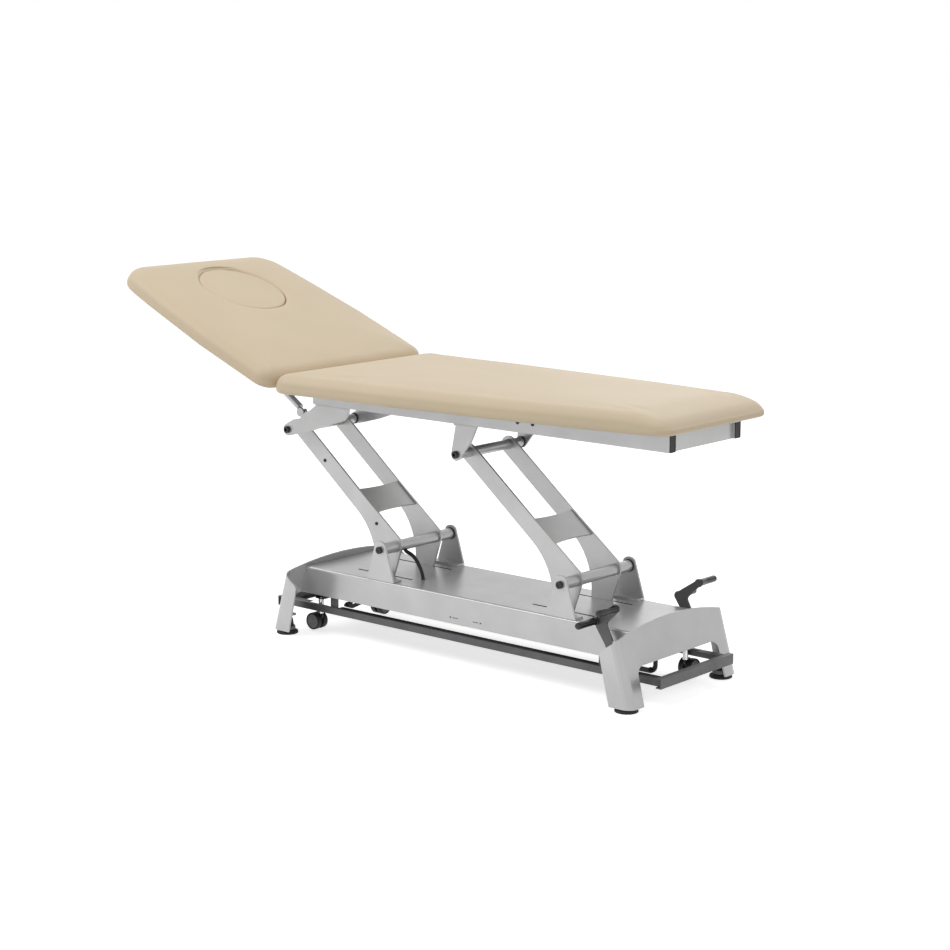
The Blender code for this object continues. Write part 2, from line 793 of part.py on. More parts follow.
def arm_outline():
    """A lifter arm: a straight upper part, a wide heel and a tail through the deck."""
    tail_low = -TAIL_END
    tail_front = TAIL_FRONT - TAIL_FRONT_LEAN * TAIL_END
    heel = (-TAIL_BACK - on_arm(0, -ARM_OUTER_HALF).x) / ARM_DIRECTION.x
    top_along = ARM_LENGTH + ARM_END_ROUND
    elbow = -ARM_SHOULDER_HALF * math.tan(math.radians(24))
    return rounded([
        (*on_arm(top_along, ARM_INNER_HALF), ARM_END_ROUND),
        (*on_arm(ARM_SHOULDER_ALONG, ARM_INNER_HALF), 0),
        (*on_arm(elbow, ARM_SHOULDER_HALF), ARM_SHOULDER_HALF),
        (tail_front, tail_low, TAIL_ROUND), (-TAIL_BACK, tail_low, TAIL_ROUND),
        (*on_arm(heel, -ARM_OUTER_HALF), ARM_HEEL_ROUND),
        (*on_arm(top_along, -ARM_OUTER_HALF), ARM_END_ROUND),
    ])


def arm(name, pivot_x, side, drive_bar):
    outline = shifted(arm_outline(), pivot_x, PIVOT_Z)
    top_x, top_z = upper_pivot(pivot_x)
    loops = [
        outline,
        circle(pivot_x, PIVOT_Z, LOWER_TUBE_RADIUS + GAP),
        circle(top_x, top_z, UPPER_TUBE_RADIUS + GAP),
    ]
    plate = side_plate(name, loops, side * ARM_HALF, ARM_PLATE)
    if drive_bar:
        x, z = drive_pin(pivot_x)
        start = (x, side * ARM_HALF, z)
        end = (x, -side * (ARM_INNER_Y - GAP), z)
        weld(plate, rod("drive_bar", start, end, DRIVE_PIN_RADIUS, SMALL_SIDES))
    return as_piece(plate, "powder_grey", (pivot_x, 0, PIVOT_Z))


def drive_pin(pivot_x):
    return pivot_x - DRIVE_PIN_BACK, PIVOT_Z - DRIVE_PIN_DROP


def cross_plate(name, pivot_x):
    """The plate between two arms, drawn in along its two free edges."""
    half = ARM_INNER_Y - GAP
    span = WEB_END - WEB_START
    steps = 8
    edge = []
    for step in range(steps + 1):
        share = 2 * step / steps - 1
        edge.append((share * half, WEB_WAIST * (1 - share ** 2)))
    outline = [(-WEB_END + inset, y) for y, inset in edge]
    outline += [(-WEB_END + span - inset, y) for y, inset in reversed(edge)]
    plate = plan_plate(name, [outline], WEB_RISE, WEB_SHEET)
    plate.data.transform(Matrix.Rotation(ARM_ANGLE, 4, "Y"))
    plate.data.transform(Matrix.Translation((pivot_x, 0, PIVOT_Z)))
    return as_piece(plate, "powder_grey", (pivot_x, 0, PIVOT_Z))


def cross_tube(name, x, z, radius, bracket_outer_y):
    """A tube with a bolt through the bracket at each end, bushes beside the brackets."""
    inner = bracket_outer_y - BRACKET_PLATE - GAP
    outer = bracket_outer_y + GAP
    head = outer + BOLT_HEAD_HEIGHT
    edge = BOLT_HEAD_HEIGHT / 6
    half = [
        (0, head), (BOLT_HEAD_RADIUS - edge, head), (BOLT_HEAD_RADIUS, head - edge),
        (BOLT_HEAD_RADIUS, outer), (JOURNAL_RADIUS, outer), (JOURNAL_RADIUS, inner),
        (BUSH_RADIUS, inner), (BUSH_RADIUS, inner - BUSH_WIDTH), (radius, inner - BUSH_WIDTH),
    ]
    profile = half + [(r, -y) for r, y in reversed(half)]
    tube = turned(name, profile)
    tube.data.transform(
        Matrix.Translation((x, 0, z)) @ Matrix.Rotation(math.pi / 2, 4, "X")
    )
    return tube


def lift_bracket(name, pivot_x, side):
    height = PIVOT_Z - DECK_Z - GAP
    outline = shifted(
        tangent_hump(BRACKET_BASE_HALF, height, BRACKET_TOP_RADIUS), pivot_x, DECK_Z + GAP
    )
    hole = circle(pivot_x, PIVOT_Z, JOURNAL_RADIUS + GAP, SMALL_SIDES)
    middle_y = side * (CHANNEL_HALF - BRACKET_PLATE / 2)
    plate = side_plate(name, [outline, hole], middle_y, BRACKET_PLATE)
    y_low, y_high = sorted((middle_y, side * (CHANNEL_HALF - BRACKET_FLANGE)))
    flange = block(
        "bracket_flange", (pivot_x - BRACKET_BASE_HALF, y_low, DECK_Z + GAP),
        (pivot_x + BRACKET_BASE_HALF, y_high, DECK_Z + GAP + BRACKET_PLATE),
    )
    return as_piece(weld(plate, flange), "powder_grey", (pivot_x, 0, PIVOT_Z))


def lifter(end_name, pivot_x, drive_bar):
    for side_name, side in (("near", NEAR), ("far", FAR)):
        lift_bracket("lift_bracket_%s_%s" % (end_name, side_name), pivot_x, side)
        arm(
            "%s_arm_%s" % (end_name, side_name), pivot_x, side, drive_bar and side == NEAR,
        )
    cross_plate("%s_arm_cross_plate" % end_name, pivot_x)
    lower = cross_tube(
        "%s_arm_lower_tube" % end_name, pivot_x, PIVOT_Z, LOWER_TUBE_RADIUS, CHANNEL_HALF,
    )
    as_piece(lower, "powder_grey", (pivot_x, 0, PIVOT_Z))
    top_x, top_z = upper_pivot(pivot_x)
    upper = cross_tube(
        "%s_arm_upper_tube" % end_name, top_x, top_z, UPPER_TUBE_RADIUS, UPPER_OUTER_Y,
    )
    as_piece(upper, "powder_grey", (top_x, 0, top_z))


# Top frame: rails, cross members and upper brackets

RAIL_OUTER_Y = RAIL_OUTER / 2
RAIL_INNER_Y = RAIL_OUTER_Y - RAIL_WIDTH
RAIL_TOP_Z = RAIL_BOTTOM_Z + RAIL_HEIGHT
HINGE_Z = CUSHION_BASE_Z + HINGE_HEIGHT
UPPER_HEAD_SHARES = (
    (0.085, 0.36), (0.21, 0.44), (0.23, 0.575), (0.356, 0.724), (0.50, 1.0), (1.0, 1.0),
    (0.984, 0.79), (0.943, 0.62), (0.90, 0.54), (0.668, 0.345), (0.423, 0.10),
    (0.162, -0.098),
)
UPPER_FOOT_SHARES = ((0.0, 1.0), (1.0, 1.0), (0.67, 0.42))


def box_tube(name, low, high, wall, axis):
    """A square tube between two corners, open at both ends along its axis."""
    tube = block(name, low, high)
    inner_low = [value + wall for value in low]
    inner_high = [value - wall for value in high]
    inner_low[axis] = low[axis] - OVERRUN
    inner_high[axis] = high[axis] + OVERRUN
    return cut(tube, block(name + "_bore", inner_low, inner_high))


def top_rail(name, side):
    y_low, y_high = sorted((side * RAIL_INNER_Y, side * RAIL_OUTER_Y))
    low = (RAIL_HEAD_X, y_low, RAIL_BOTTOM_Z)
    high = (RAIL_FOOT_X, y_high, RAIL_TOP_Z)
    return as_piece(box_tube(name, low, high, RAIL_WALL, 0), "powder_grey")


def cross_member_foot():
    half = RAIL_INNER_Y - GAP
    low = (RAIL_FOOT_X - CROSS_INSET - RAIL_WIDTH, -half, RAIL_BOTTOM_Z)
    high = (RAIL_FOOT_X - CROSS_INSET, half, RAIL_TOP_Z)
    return as_piece(box_tube("cross_member_foot", low, high, RAIL_WALL, 1), "powder_grey")


def cross_member_head():
    """The head cross member, with a lug at each side that carries the head hinge."""
    half = RAIL_INNER_Y - GAP
    face = HINGE_X + MEMBER_SETBACK
    low = (face, -half, RAIL_BOTTOM_Z)
    high = (face + RAIL_WIDTH, half, RAIL_TOP_Z)
    member = box_tube("cross_member_head", low, high, RAIL_WALL, 1)
    neck = KNUCKLE_NECK / 2
    lug_y = HEAD_LUG_Y + HINGE_LUG_WIDTH + HINGE_LUG_STEP
    lug_top = CUSHION_BASE_Z - HINGE_LUG_STEP
    outline = [
        (HINGE_X - neck, lug_top - RAIL_WIDTH), (face + RAIL_WALL, lug_top - RAIL_WIDTH),
        (face + RAIL_WALL, lug_top), (HINGE_X + neck, lug_top),
        (HINGE_X + neck, HINGE_Z), (HINGE_X - neck, HINGE_Z),
    ]
    for side in (NEAR, FAR):
        middle = side * (lug_y + HINGE_LUG_WIDTH / 2)
        weld(member, side_plate("hinge_lug", [outline], middle, HINGE_LUG_WIDTH))
        start = (HINGE_X, side * lug_y, HINGE_Z)
        end = (HINGE_X, side * (lug_y + HINGE_LUG_WIDTH), HINGE_Z)
        weld(member, rod("hinge_knuckle", start, end, KNUCKLE_RADIUS, SMALL_SIDES))
        start = (HINGE_X, side * (lug_y - OVERRUN / 10), HINGE_Z)
        end = (HINGE_X, side * (lug_y + HINGE_LUG_WIDTH + OVERRUN / 10), HINGE_Z)
        cut(member, rod("hinge_bore", start, end, HINGE_PIN_RADIUS + GAP, SMALL_SIDES))
    return as_piece(member, "powder_grey")


def round_end(radius, start, end):
    """Points of an outline's round end about its pivot, between two directions."""
    steps = max(4, round(abs(end - start) / ARC_STEP))
    angles = [start + (end - start) * step / steps for step in range(steps + 1)]
    return [(radius * math.cos(a), radius * math.sin(a)) for a in angles]


def upper_bracket(name, pivot, side, outline):
    """A plate under a rail with a flange to the rail and a bore for the upper tube's bolt."""
    x, z = pivot
    hole = circle(x, z, JOURNAL_RADIUS + GAP, SMALL_SIDES)
    middle_y = side * (UPPER_OUTER_Y - BRACKET_PLATE / 2)
    plate = side_plate(name, [shifted(outline, x, z), hole], middle_y, BRACKET_PLATE)
    top = RAIL_BOTTOM_Z - GAP
    flat = [px for px, pz in outline if pz >= top - z - GAP]
    y_low, y_high = sorted((side * RAIL_INNER_Y, side * RAIL_OUTER_Y))
    flange = block(
        "upper_flange", (x + min(flat) + UPPER_FLANGE, y_low, top - UPPER_FLANGE),
        (x + max(flat) - UPPER_FLANGE, y_high, top),
    )
    return weld(plate, flange)


def upper_brackets():
    head = upper_pivot(HEAD_PIVOT_X)
    foot = upper_pivot(FOOT_PIVOT_X)
    rise = RAIL_BOTTOM_Z - GAP - head[1]
    head_outline = [(sx * UPPER_HEAD_LENGTH, sz * rise) for sx, sz in UPPER_HEAD_SHARES]
    head_outline += round_end(UPPER_HEAD_RADIUS, math.radians(-80), math.radians(-225))
    foot_outline = [(sx * UPPER_FOOT_LENGTH, sz * rise) for sx, sz in UPPER_FOOT_SHARES]
    foot_outline += round_end(UPPER_FOOT_RADIUS, math.radians(-40), math.radians(-183))
    for side_name, side in (("near", NEAR), ("far", FAR)):
        bracket = upper_bracket("upper_bracket_head_" + side_name, head, side, head_outline)
        if side == NEAR:
            plate_y = side * (UPPER_OUTER_Y - BRACKET_PLATE / 2)
            ear = circle(SPRING_FOOT_X, SPRING_FOOT_Z, SPRING_EAR_RADIUS)
            weld(bracket, side_plate("spring_ear", [ear], plate_y, SPRING_EAR_PLATE))
            start = (SPRING_FOOT_X, plate_y, SPRING_FOOT_Z)
            end = (SPRING_FOOT_X, SPRING_Y + EYE_WIDTH / 2, SPRING_FOOT_Z)
            weld(bracket, rod("spring_pin", start, end, SPRING_PIN_RADIUS, SMALL_SIDES))
        as_piece(bracket, "powder_grey")
        bracket = upper_bracket("upper_bracket_foot_" + side_name, foot, side, foot_outline)
        as_piece(bracket, "powder_grey")


# Cushions

def cushion(name, outline, base_z):
    """An upholstered pad: rings that follow the outline, round edges and a low crown."""
    bm = bmesh.new()
    points = [Vector(point) for point in outline]
    inward = []
    for index, here in enumerate(points):
        along = points[(index + 1) % len(points)] - points[index - 1]
        inward.append(Vector((-along.y, along.x)).normalized())
    middle = (max(points, key=lambda p: p.x) + min(points, key=lambda p: p.x)) / 2
    middle.y = 0
    rings = []
    for inset, height in edge_profile():
        rings.append([(*(p + n * inset), base_z + height) for p, n in zip(points, inward)])
    shoulder = [Vector(point) for point in rings[-1]]
    for share, rise_share in CROWN_SHARES:
        ring = []
        for point in shoulder:
            flat = middle + (point.xy - middle) * share
            ring.append((*flat, point.z + CUSHION_CROWN * rise_share))
        rings.append(ring)
    verts = [[bm.verts.new(point) for point in ring] for ring in rings]
    count = len(points)
    for low, high in zip(verts, verts[1:]):
        for index in range(count):
            after = (index + 1) % count
            bm.faces.new((low[index], low[after], high[after], high[index]))
    bm.faces.new(reversed(verts[0]))
    bm.faces.new(verts[-1])
    bmesh.ops.recalc_face_normals(bm, faces=bm.faces)
    return mesh_object(name, bm)


def edge_profile():
    """Inset and height of the rings round a pad's edge, from its underside up."""
    rings = []
    for step in range(EDGE_STEPS + 1):
        angle = math.pi / 2 * step / EDGE_STEPS
        rings.append((
            CUSHION_UNDER_ROUND * (1 - math.sin(angle)),
            CUSHION_UNDER_ROUND * (1 - math.cos(angle)),
        ))
    for step in range(EDGE_STEPS + 1):
        angle = math.pi / 2 * step / EDGE_STEPS
        rings.append((
            CUSHION_EDGE_ROUND * (1 - math.cos(angle)),
            CUSHION_HEIGHT - CUSHION_EDGE_ROUND * (1 - math.sin(angle)),
        ))
    return rings


def pad_outline(start, end, half_width, shares, start_round, end_round):
    """A pad seen from above, wide at its start and narrower at its end, anticlockwise."""
    near = []
    for index, (along, width) in enumerate(shares):
        radius = 0
        if index == 0:
            radius = start_round
        if index == len(shares) - 1:
            radius = end_round
        near.append((start + (end - start) * along, -half_width * width, radius))
    far = [(x, -y, radius) for x, y, radius in reversed(near)]
    loop = rounded(near + far)
    if end < start:
        loop.reverse()
    return loop


def body_cushion():
    outline = pad_outline(
        HINGE_X + SEAM_HALF, CUSHION_FOOT_X, HEAD_HALF_WIDTH, BODY_WIDTH_SHARES,
        SEAM_CORNER, BODY_CORNER,
    )
    return as_piece(cushion("body_cushion", outline, CUSHION_BASE_Z), "vinyl")


def on_head(piece, finish):
    """Place a piece that was drawn about the head hinge, and tilt it with the head."""
    as_piece(piece, finish)
    piece.location = (HINGE_X, 0, HINGE_Z)
    piece.rotation_euler.y = HEAD_TILT
    return piece


def plug_profile(radius, top, low, lip):
    """The face plug's or its opening's outline, from the top down; a lip widens or narrows."""
    steps = 3
    rounding = []
    for step in range(steps + 1):
        angle = math.pi / 2 * step / steps
        rounding.append((
            radius + lip * (1 - math.sin(angle)), top - abs(lip) * (1 - math.cos(angle)),
        ))
    return rounding + [(radius, low), (0, low)]


def head_cushion():
    outline = pad_outline(
        -SEAM_HALF, -HEAD_LENGTH, HEAD_HALF_WIDTH, HEAD_WIDTH_SHARES, SEAM_CORNER, HEAD_CORNER,
    )
    pad = cushion("head_cushion", outline, -HINGE_HEIGHT)
    top = CUSHION_HEIGHT - HINGE_HEIGHT + CUSHION_CROWN * PLUG_CROWN_SHARE
    low = -HINGE_HEIGHT - OVERRUN
    profile = plug_profile(PLUG_RADIUS + PLUG_GAP, top, low, PLUG_ROUND)
    high = [(0, top + OVERRUN), (PLUG_RADIUS + PLUG_GAP + PLUG_ROUND, top + OVERRUN)]
    opening = turned("face_opening", high + profile, PLUG_SIDES)
    opening.data.transform(Matrix.Translation((-PLUG_ALONG, 0, 0)))
    return on_head(cut(pad, opening), "vinyl")


def face_plug():
    top = CUSHION_HEIGHT - HINGE_HEIGHT + CUSHION_CROWN * PLUG_CROWN_SHARE
    profile = plug_profile(PLUG_RADIUS, top, -HINGE_HEIGHT, -PLUG_ROUND)
    crown = [(0, top + CUSHION_CROWN / 2), (PLUG_RADIUS / 2, top + CUSHION_CROWN / 2)]
    plug = turned("face_plug", crown + profile, PLUG_SIDES)
    plug.data.transform(Matrix.Translation((-PLUG_ALONG, 0, 0)))
    return on_head(plug, "vinyl")


# Head frame and gas spring, drawn about the head hinge: x is minus the way along the head

def head_frame():
    """A ladder of tubes under the head cushion, with hinge tongues and the spring's lugs."""
    top = -HINGE_HEIGHT - GAP
    low = top - HEAD_RAIL_HEIGHT
    outer = HEAD_RAIL_SPREAD / 2 + HEAD_RAIL_WIDTH / 2
    inner = outer - HEAD_RAIL_WIDTH
    bars = (HEAD_RAIL_START, HEAD_BAR_MIDDLE, HEAD_RAIL_END - HEAD_RAIL_WIDTH)
    loops = [rectangle(-HEAD_RAIL_END, -outer, -HEAD_RAIL_START, outer)]
    for near_bar, far_bar in zip(bars, bars[1:]):
        loops.append(rectangle(-far_bar, -inner, -near_bar - HEAD_RAIL_WIDTH, inner))
    frame = plan_plate("head_frame", loops, (top + low) / 2, HEAD_RAIL_HEIGHT)
    neck = KNUCKLE_NECK / 2
    tongue_top = top - HINGE_LUG_STEP / 4
    tongue_low = tongue_top - HEAD_RAIL_HEIGHT * HINGE_TONGUE_SHARE
    reach = HEAD_RAIL_START + HEAD_RAIL_WIDTH / 2
    tongue = [
        (neck, 0), (-neck, 0), (-neck, tongue_top), (-reach, tongue_top),
        (-reach, tongue_low), (neck, tongue_low),
    ]
    for side in (NEAR, FAR):
        start_y = side * HEAD_LUG_Y
        end_y = side * (HEAD_LUG_Y + HINGE_LUG_WIDTH)
        pin_y = end_y + side * (HINGE_LUG_STEP + HINGE_LUG_WIDTH)
        plate = side_plate("hinge_tongue", [tongue], (start_y + end_y) / 2, HINGE_LUG_WIDTH)
        knuckle = rod("knuckle", (0, start_y, 0), (0, end_y, 0), KNUCKLE_RADIUS, SMALL_SIDES)
        middle_y = (start_y + end_y) / 2
        pin = rod("hinge_pin", (0, middle_y, 0), (0, pin_y, 0), HINGE_PIN_RADIUS, SMALL_SIDES)
        weld(frame, plate, knuckle, pin)
    half_slot = EYE_WIDTH / 2 + HINGE_LUG_STEP / 2
    eye_low = -SPRING_END_DROP - EYE_RADIUS
    ear_start = HEAD_BAR_MIDDLE + HEAD_RAIL_WIDTH / 2
    ear_end = SPRING_END_ALONG + EYE_RADIUS
    ear = [
        (-ear_start, tongue_top), (-ear_end, tongue_top), (-ear_end, eye_low),
        (-ear_end + 2 * EYE_RADIUS, eye_low), (-ear_start, tongue_low),
    ]
    for side in (NEAR, FAR):
        middle = SPRING_Y + side * (half_slot + SPRING_LUG_SHEET / 2)
        weld(frame, side_plate("spring_lug", [ear], middle, SPRING_LUG_SHEET))
    return on_head(frame, "powder_grey")


def spring_end():
    """X and Z of the gas spring's upper eye with the head at rest."""
    along = Vector((-math.cos(HEAD_TILT), math.sin(HEAD_TILT)))
    across = Vector((math.sin(HEAD_TILT), math.cos(HEAD_TILT)))
    end = along * SPRING_END_ALONG - across * SPRING_END_DROP
    return HINGE_X + end.x, HINGE_Z + end.y


def spring_eye(name, x, z, bore):
    start = (x, SPRING_Y - EYE_WIDTH / 2, z)
    end = (x, SPRING_Y + EYE_WIDTH / 2, z)
    eye = rod(name, start, end, EYE_RADIUS, SMALL_SIDES)
    if bore:
        start = (x, SPRING_Y - EYE_WIDTH, z)
        end = (x, SPRING_Y + EYE_WIDTH, z)
        tool = rod(name + "_bore", start, end, SPRING_PIN_RADIUS + GAP, SMALL_SIDES)
        return eye, tool
    return eye


def gas_spring():
    end_x, end_z = spring_end()
    start = Vector((SPRING_FOOT_X, SPRING_Y, SPRING_FOOT_Z))
    end = Vector((end_x, SPRING_Y, end_z))
    line = end - start
    place = Matrix.Translation(start) @ line.to_track_quat("Z", "Y").to_matrix().to_4x4()
    bore = ROD_RADIUS + GAP
    taper = CYLINDER_RADIUS / 3
    cylinder = turned("gas_cylinder", [
        (0, CYLINDER_START + 2 * taper), (bore, CYLINDER_START + 2 * taper),
        (bore, CYLINDER_END), (CYLINDER_RADIUS - taper / 2, CYLINDER_END),
        (CYLINDER_RADIUS, CYLINDER_END - taper), (CYLINDER_RADIUS, CYLINDER_START + taper),
        (EYE_WIDTH * 2 / 5, CYLINDER_START), (EYE_WIDTH * 2 / 5, EYE_RADIUS * 3 / 4),
        (0, EYE_RADIUS * 3 / 4),
    ], SMALL_SIDES)
    cylinder.data.transform(place)
    eye, tool = spring_eye("lower_eye", start.x, start.z, True)
    as_piece(cut(weld(cylinder, eye), tool), "dark_steel", start)
    way = line.normalized()
    tip = end - way * EYE_RADIUS / 2
    piston = rod("gas_rod", start + way * ROD_INSIDE, tip, ROD_RADIUS, SMALL_SIDES)
    as_piece(weld(piston, spring_eye("upper_eye", end.x, end.z, False)), "zinc_steel", start)


# Actuator and control box, inside the channel

def lengthwise(shape, x, y, z):
    """Turn a shape drawn along Z to lie along X, its top towards +X."""
    shape.data.transform(Matrix.Translation((x, y, z)) @ Matrix.Rotation(math.pi / 2, 4, "Y"))
    return shape


def actuator():
    pin_x, pin_z = drive_pin(HEAD_PIVOT_X)
    bore = ACTUATOR_ROD_RADIUS + GAP
    edge = ACTUATOR_RADIUS / 8
    bore_end = ACTUATOR_FRONT_X + ACTUATOR_BORE
    body = turned("actuator_body", [
        (0, ACTUATOR_REAR_X), (ACTUATOR_RADIUS - edge, ACTUATOR_REAR_X),
        (ACTUATOR_RADIUS, ACTUATOR_REAR_X - edge), (ACTUATOR_RADIUS, ACTUATOR_FRONT_X + edge),
        (ACTUATOR_RADIUS - edge, ACTUATOR_FRONT_X), (bore, ACTUATOR_FRONT_X),
        (bore, bore_end), (0, bore_end),
    ])
    lengthwise(body, 0, 0, ACTUATOR_Z)
    for x in (ACTUATOR_REAR_X - ACTUATOR_RADIUS, ACTUATOR_FRONT_X + ACTUATOR_RADIUS):
        half = SADDLE_SHEET / 2
        saddle = block(
            "saddle", (x - half, -ACTUATOR_RADIUS, ACTUATOR_Z),
            (x + half, ACTUATOR_RADIUS, DECK_UNDER_Z - GAP),
        )
        bore_tool = rod(
            "saddle_bore", (x - ACTUATOR_RADIUS, 0, ACTUATOR_Z),
            (x + ACTUATOR_RADIUS, 0, ACTUATOR_Z), ACTUATOR_ROD_RADIUS * 3 / 2,
        )
        weld(body, cut(saddle, bore_tool))
    as_piece(body, "aluminium")
    back = pin_x - DRIVE_PIN_RADIUS - YOKE_BACK_SLACK
    front = pin_x + DRIVE_PIN_RADIUS + YOKE_FRONT_SLACK
    low = YOKE_LOW_Z
    outline = [
        (back - YOKE_WALL, low), (front + YOKE_WALL, low), (front + YOKE_WALL, YOKE_TOP_Z),
        (front, YOKE_TOP_Z), (front, low + YOKE_WALL), (back, low + YOKE_WALL),
        (back, YOKE_TOP_Z), (back - YOKE_WALL, YOKE_TOP_Z),
    ]
    yoke = side_plate("actuator_rod", [outline], 0, YOKE_DEPTH)
    start = (front + YOKE_WALL / 2, 0, ACTUATOR_Z)
    end = (ACTUATOR_FRONT_X + ACTUATOR_ROD_INSIDE, 0, ACTUATOR_Z)
    as_piece(weld(yoke, rod("push_rod", start, end, ACTUATOR_ROD_RADIUS)), "zinc_steel")


def control_box():
    top = DECK_UNDER_Z - GAP
    low = top - BOX_HEIGHT
    half = BOX_WIDTH / 2
    box = block(
        "control_box", (BOX_HEAD_X, -half, low), (BOX_HEAD_X + BOX_LENGTH, half, top),
    )
    bevel = box.modifiers.new("edges", "BEVEL")
    bevel.width = BOX_EDGE
    bevel.segments = 2
    middle = (top + low) / 2
    shroud = block(
        "inlet", (BOX_HEAD_X - INLET_DEPTH, -INLET_WIDTH / 2, middle - INLET_HEIGHT / 2),
        (BOX_HEAD_X + BOX_EDGE, INLET_WIDTH / 2, middle + INLET_HEIGHT / 2),
    )
    hollow = block(
        "inlet_hollow",
        (BOX_HEAD_X - INLET_DEPTH - OVERRUN, INLET_WALL - INLET_WIDTH / 2,
         middle - INLET_HEIGHT / 2 + INLET_WALL),
        (BOX_HEAD_X - INLET_WALL, INLET_WIDTH / 2 - INLET_WALL,
         middle + INLET_HEIGHT / 2 - INLET_WALL),
    )
    return as_piece(cut(weld(box, shroud), hollow), "black_plastic")


# Castors, the beams that carry them and the levers that lower them

BEAM_TOP_Z = BEAM_BOTTOM_Z + BEAM_HEIGHT
LINK_PIN_X = LINK_AHEAD
LINK_PIN_Z = -LINK_DROP


def upright(shape, x, y):
    shape.data.transform(Matrix.Translation((x, y, 0)))
    return shape


def castor(end_name, side_name, x, y, yaw):
    """A swivel fork on its stem and a pair of wheels on one hub, trailing along yaw."""
    axle_z = WHEEL_LIFT + WHEEL_RADIUS
    boss = FORK_BOSS_RADIUS
    stem = turned("castor_fork_%s_%s" % (end_name, side_name), [
        (0, BEAM_TOP_Z - BEAM_SHEET - GAP), (CASTOR_STEM_RADIUS, BEAM_TOP_Z - BEAM_SHEET - GAP),
        (CASTOR_STEM_RADIUS, FORK_TOP_Z), (boss, FORK_TOP_Z),
        (boss, FORK_TOP_Z - FORK_SHEET), (0, FORK_TOP_Z - FORK_SHEET),
    ], SMALL_SIDES)
    arm_round = AXLE_RADIUS * 2
    outline = rounded([
        (-boss, FORK_TOP_Z - FORK_SHEET / 2, 0),
        (-arm_round, axle_z, arm_round / 2),
        (CASTOR_TRAIL - arm_round, axle_z - arm_round, arm_round * EASE_SHARE),
        (CASTOR_TRAIL + arm_round, axle_z - arm_round, arm_round * EASE_SHARE),
        (CASTOR_TRAIL + arm_round, axle_z + arm_round, arm_round),
        (boss, FORK_TOP_Z - FORK_SHEET / 2, 0),
    ])
    hub = circle(CASTOR_TRAIL, axle_z, AXLE_RADIUS + GAP, SMALL_SIDES)
    fork = weld(stem, side_plate("fork_plate", [outline, hub], 0, FORK_SHEET))
    fork = settled(fork)
    spin = Matrix.Translation((x, y, 0)) @ Matrix.Rotation(yaw, 4, "Z")
    fork.data.transform(spin)
    as_piece(fork, "black_plastic", (x, y, 0))
    inner = WHEEL_GAP / 2
    outer = inner + WHEEL_TREAD
    edge = WHEEL_ROUND
    half = [
        (0, outer - edge), (WHEEL_RADIUS / 2, outer - edge), (WHEEL_RADIUS - edge, outer),
        (WHEEL_RADIUS, outer - edge), (WHEEL_RADIUS, inner), (AXLE_RADIUS, inner),
    ]
    wheels = turned(
        "castor_wheels_%s_%s" % (end_name, side_name), half + [(r, -h) for r, h in reversed(half)],
        WHEEL_SIDES,
    )
    lay = Matrix.Translation((CASTOR_TRAIL, 0, axle_z)) @ Matrix.Rotation(math.pi / 2, 4, "X")
    wheels.data.transform(spin @ lay)
    axle = spin @ Vector((CASTOR_TRAIL, 0, axle_z))
    as_piece(wheels, "black_plastic", axle)


def castor_beam(name, x, shaft_x):
    half_width = BEAM_WIDTH / 2
    half = BEAM_LENGTH / 2
    beam = box_tube(
        name, (x - half_width, -half, BEAM_BOTTOM_Z), (x + half_width, half, BEAM_TOP_Z),
        BEAM_SHEET, 1,
    )
    slot_x = shaft_x - CRANK_REACH
    slot_half = CRANK_PIN_RADIUS + LUG_SLOT_SLACK
    slot_rise = CRANK_PIN_RADIUS + LUG_SLOT_RISE
    wall = CRANK_SHEET
    outer = slot_half + wall
    rise = slot_rise + wall
    foot_x = x - half_width + wall
    outline = [
        (slot_x - outer, SHAFT_Z + rise), (slot_x - outer, SHAFT_Z - rise),
        (foot_x, BEAM_BOTTOM_Z + wall), (foot_x + 2 * wall, BEAM_BOTTOM_Z + wall),
        (foot_x + 2 * wall, BEAM_TOP_Z), (slot_x + outer, BEAM_TOP_Z + wall),
        (slot_x + outer, SHAFT_Z + rise),
    ]
    slot = [
        (slot_x - slot_half, SHAFT_Z - slot_rise), (slot_x + slot_half, SHAFT_Z - slot_rise),
        (slot_x + slot_half, SHAFT_Z + slot_rise), (slot_x - slot_half, SHAFT_Z + slot_rise),
    ]
    for side in (NEAR, FAR):
        lug_y = side * (CRANK_Y - 3 * CRANK_SHEET / 2)
        weld(beam, side_plate("beam_lug", [outline, slot], lug_y, CRANK_SHEET))
        y = side * CASTOR_Y
        tool = rod(
            "stem_bore", (x, y, BEAM_BOTTOM_Z - OVERRUN), (x, y, BEAM_TOP_Z - BEAM_SHEET),
            CASTOR_STEM_RADIUS + GAP, SMALL_SIDES,
        )
        cut(beam, tool)
    return as_piece(beam, "dark_steel")


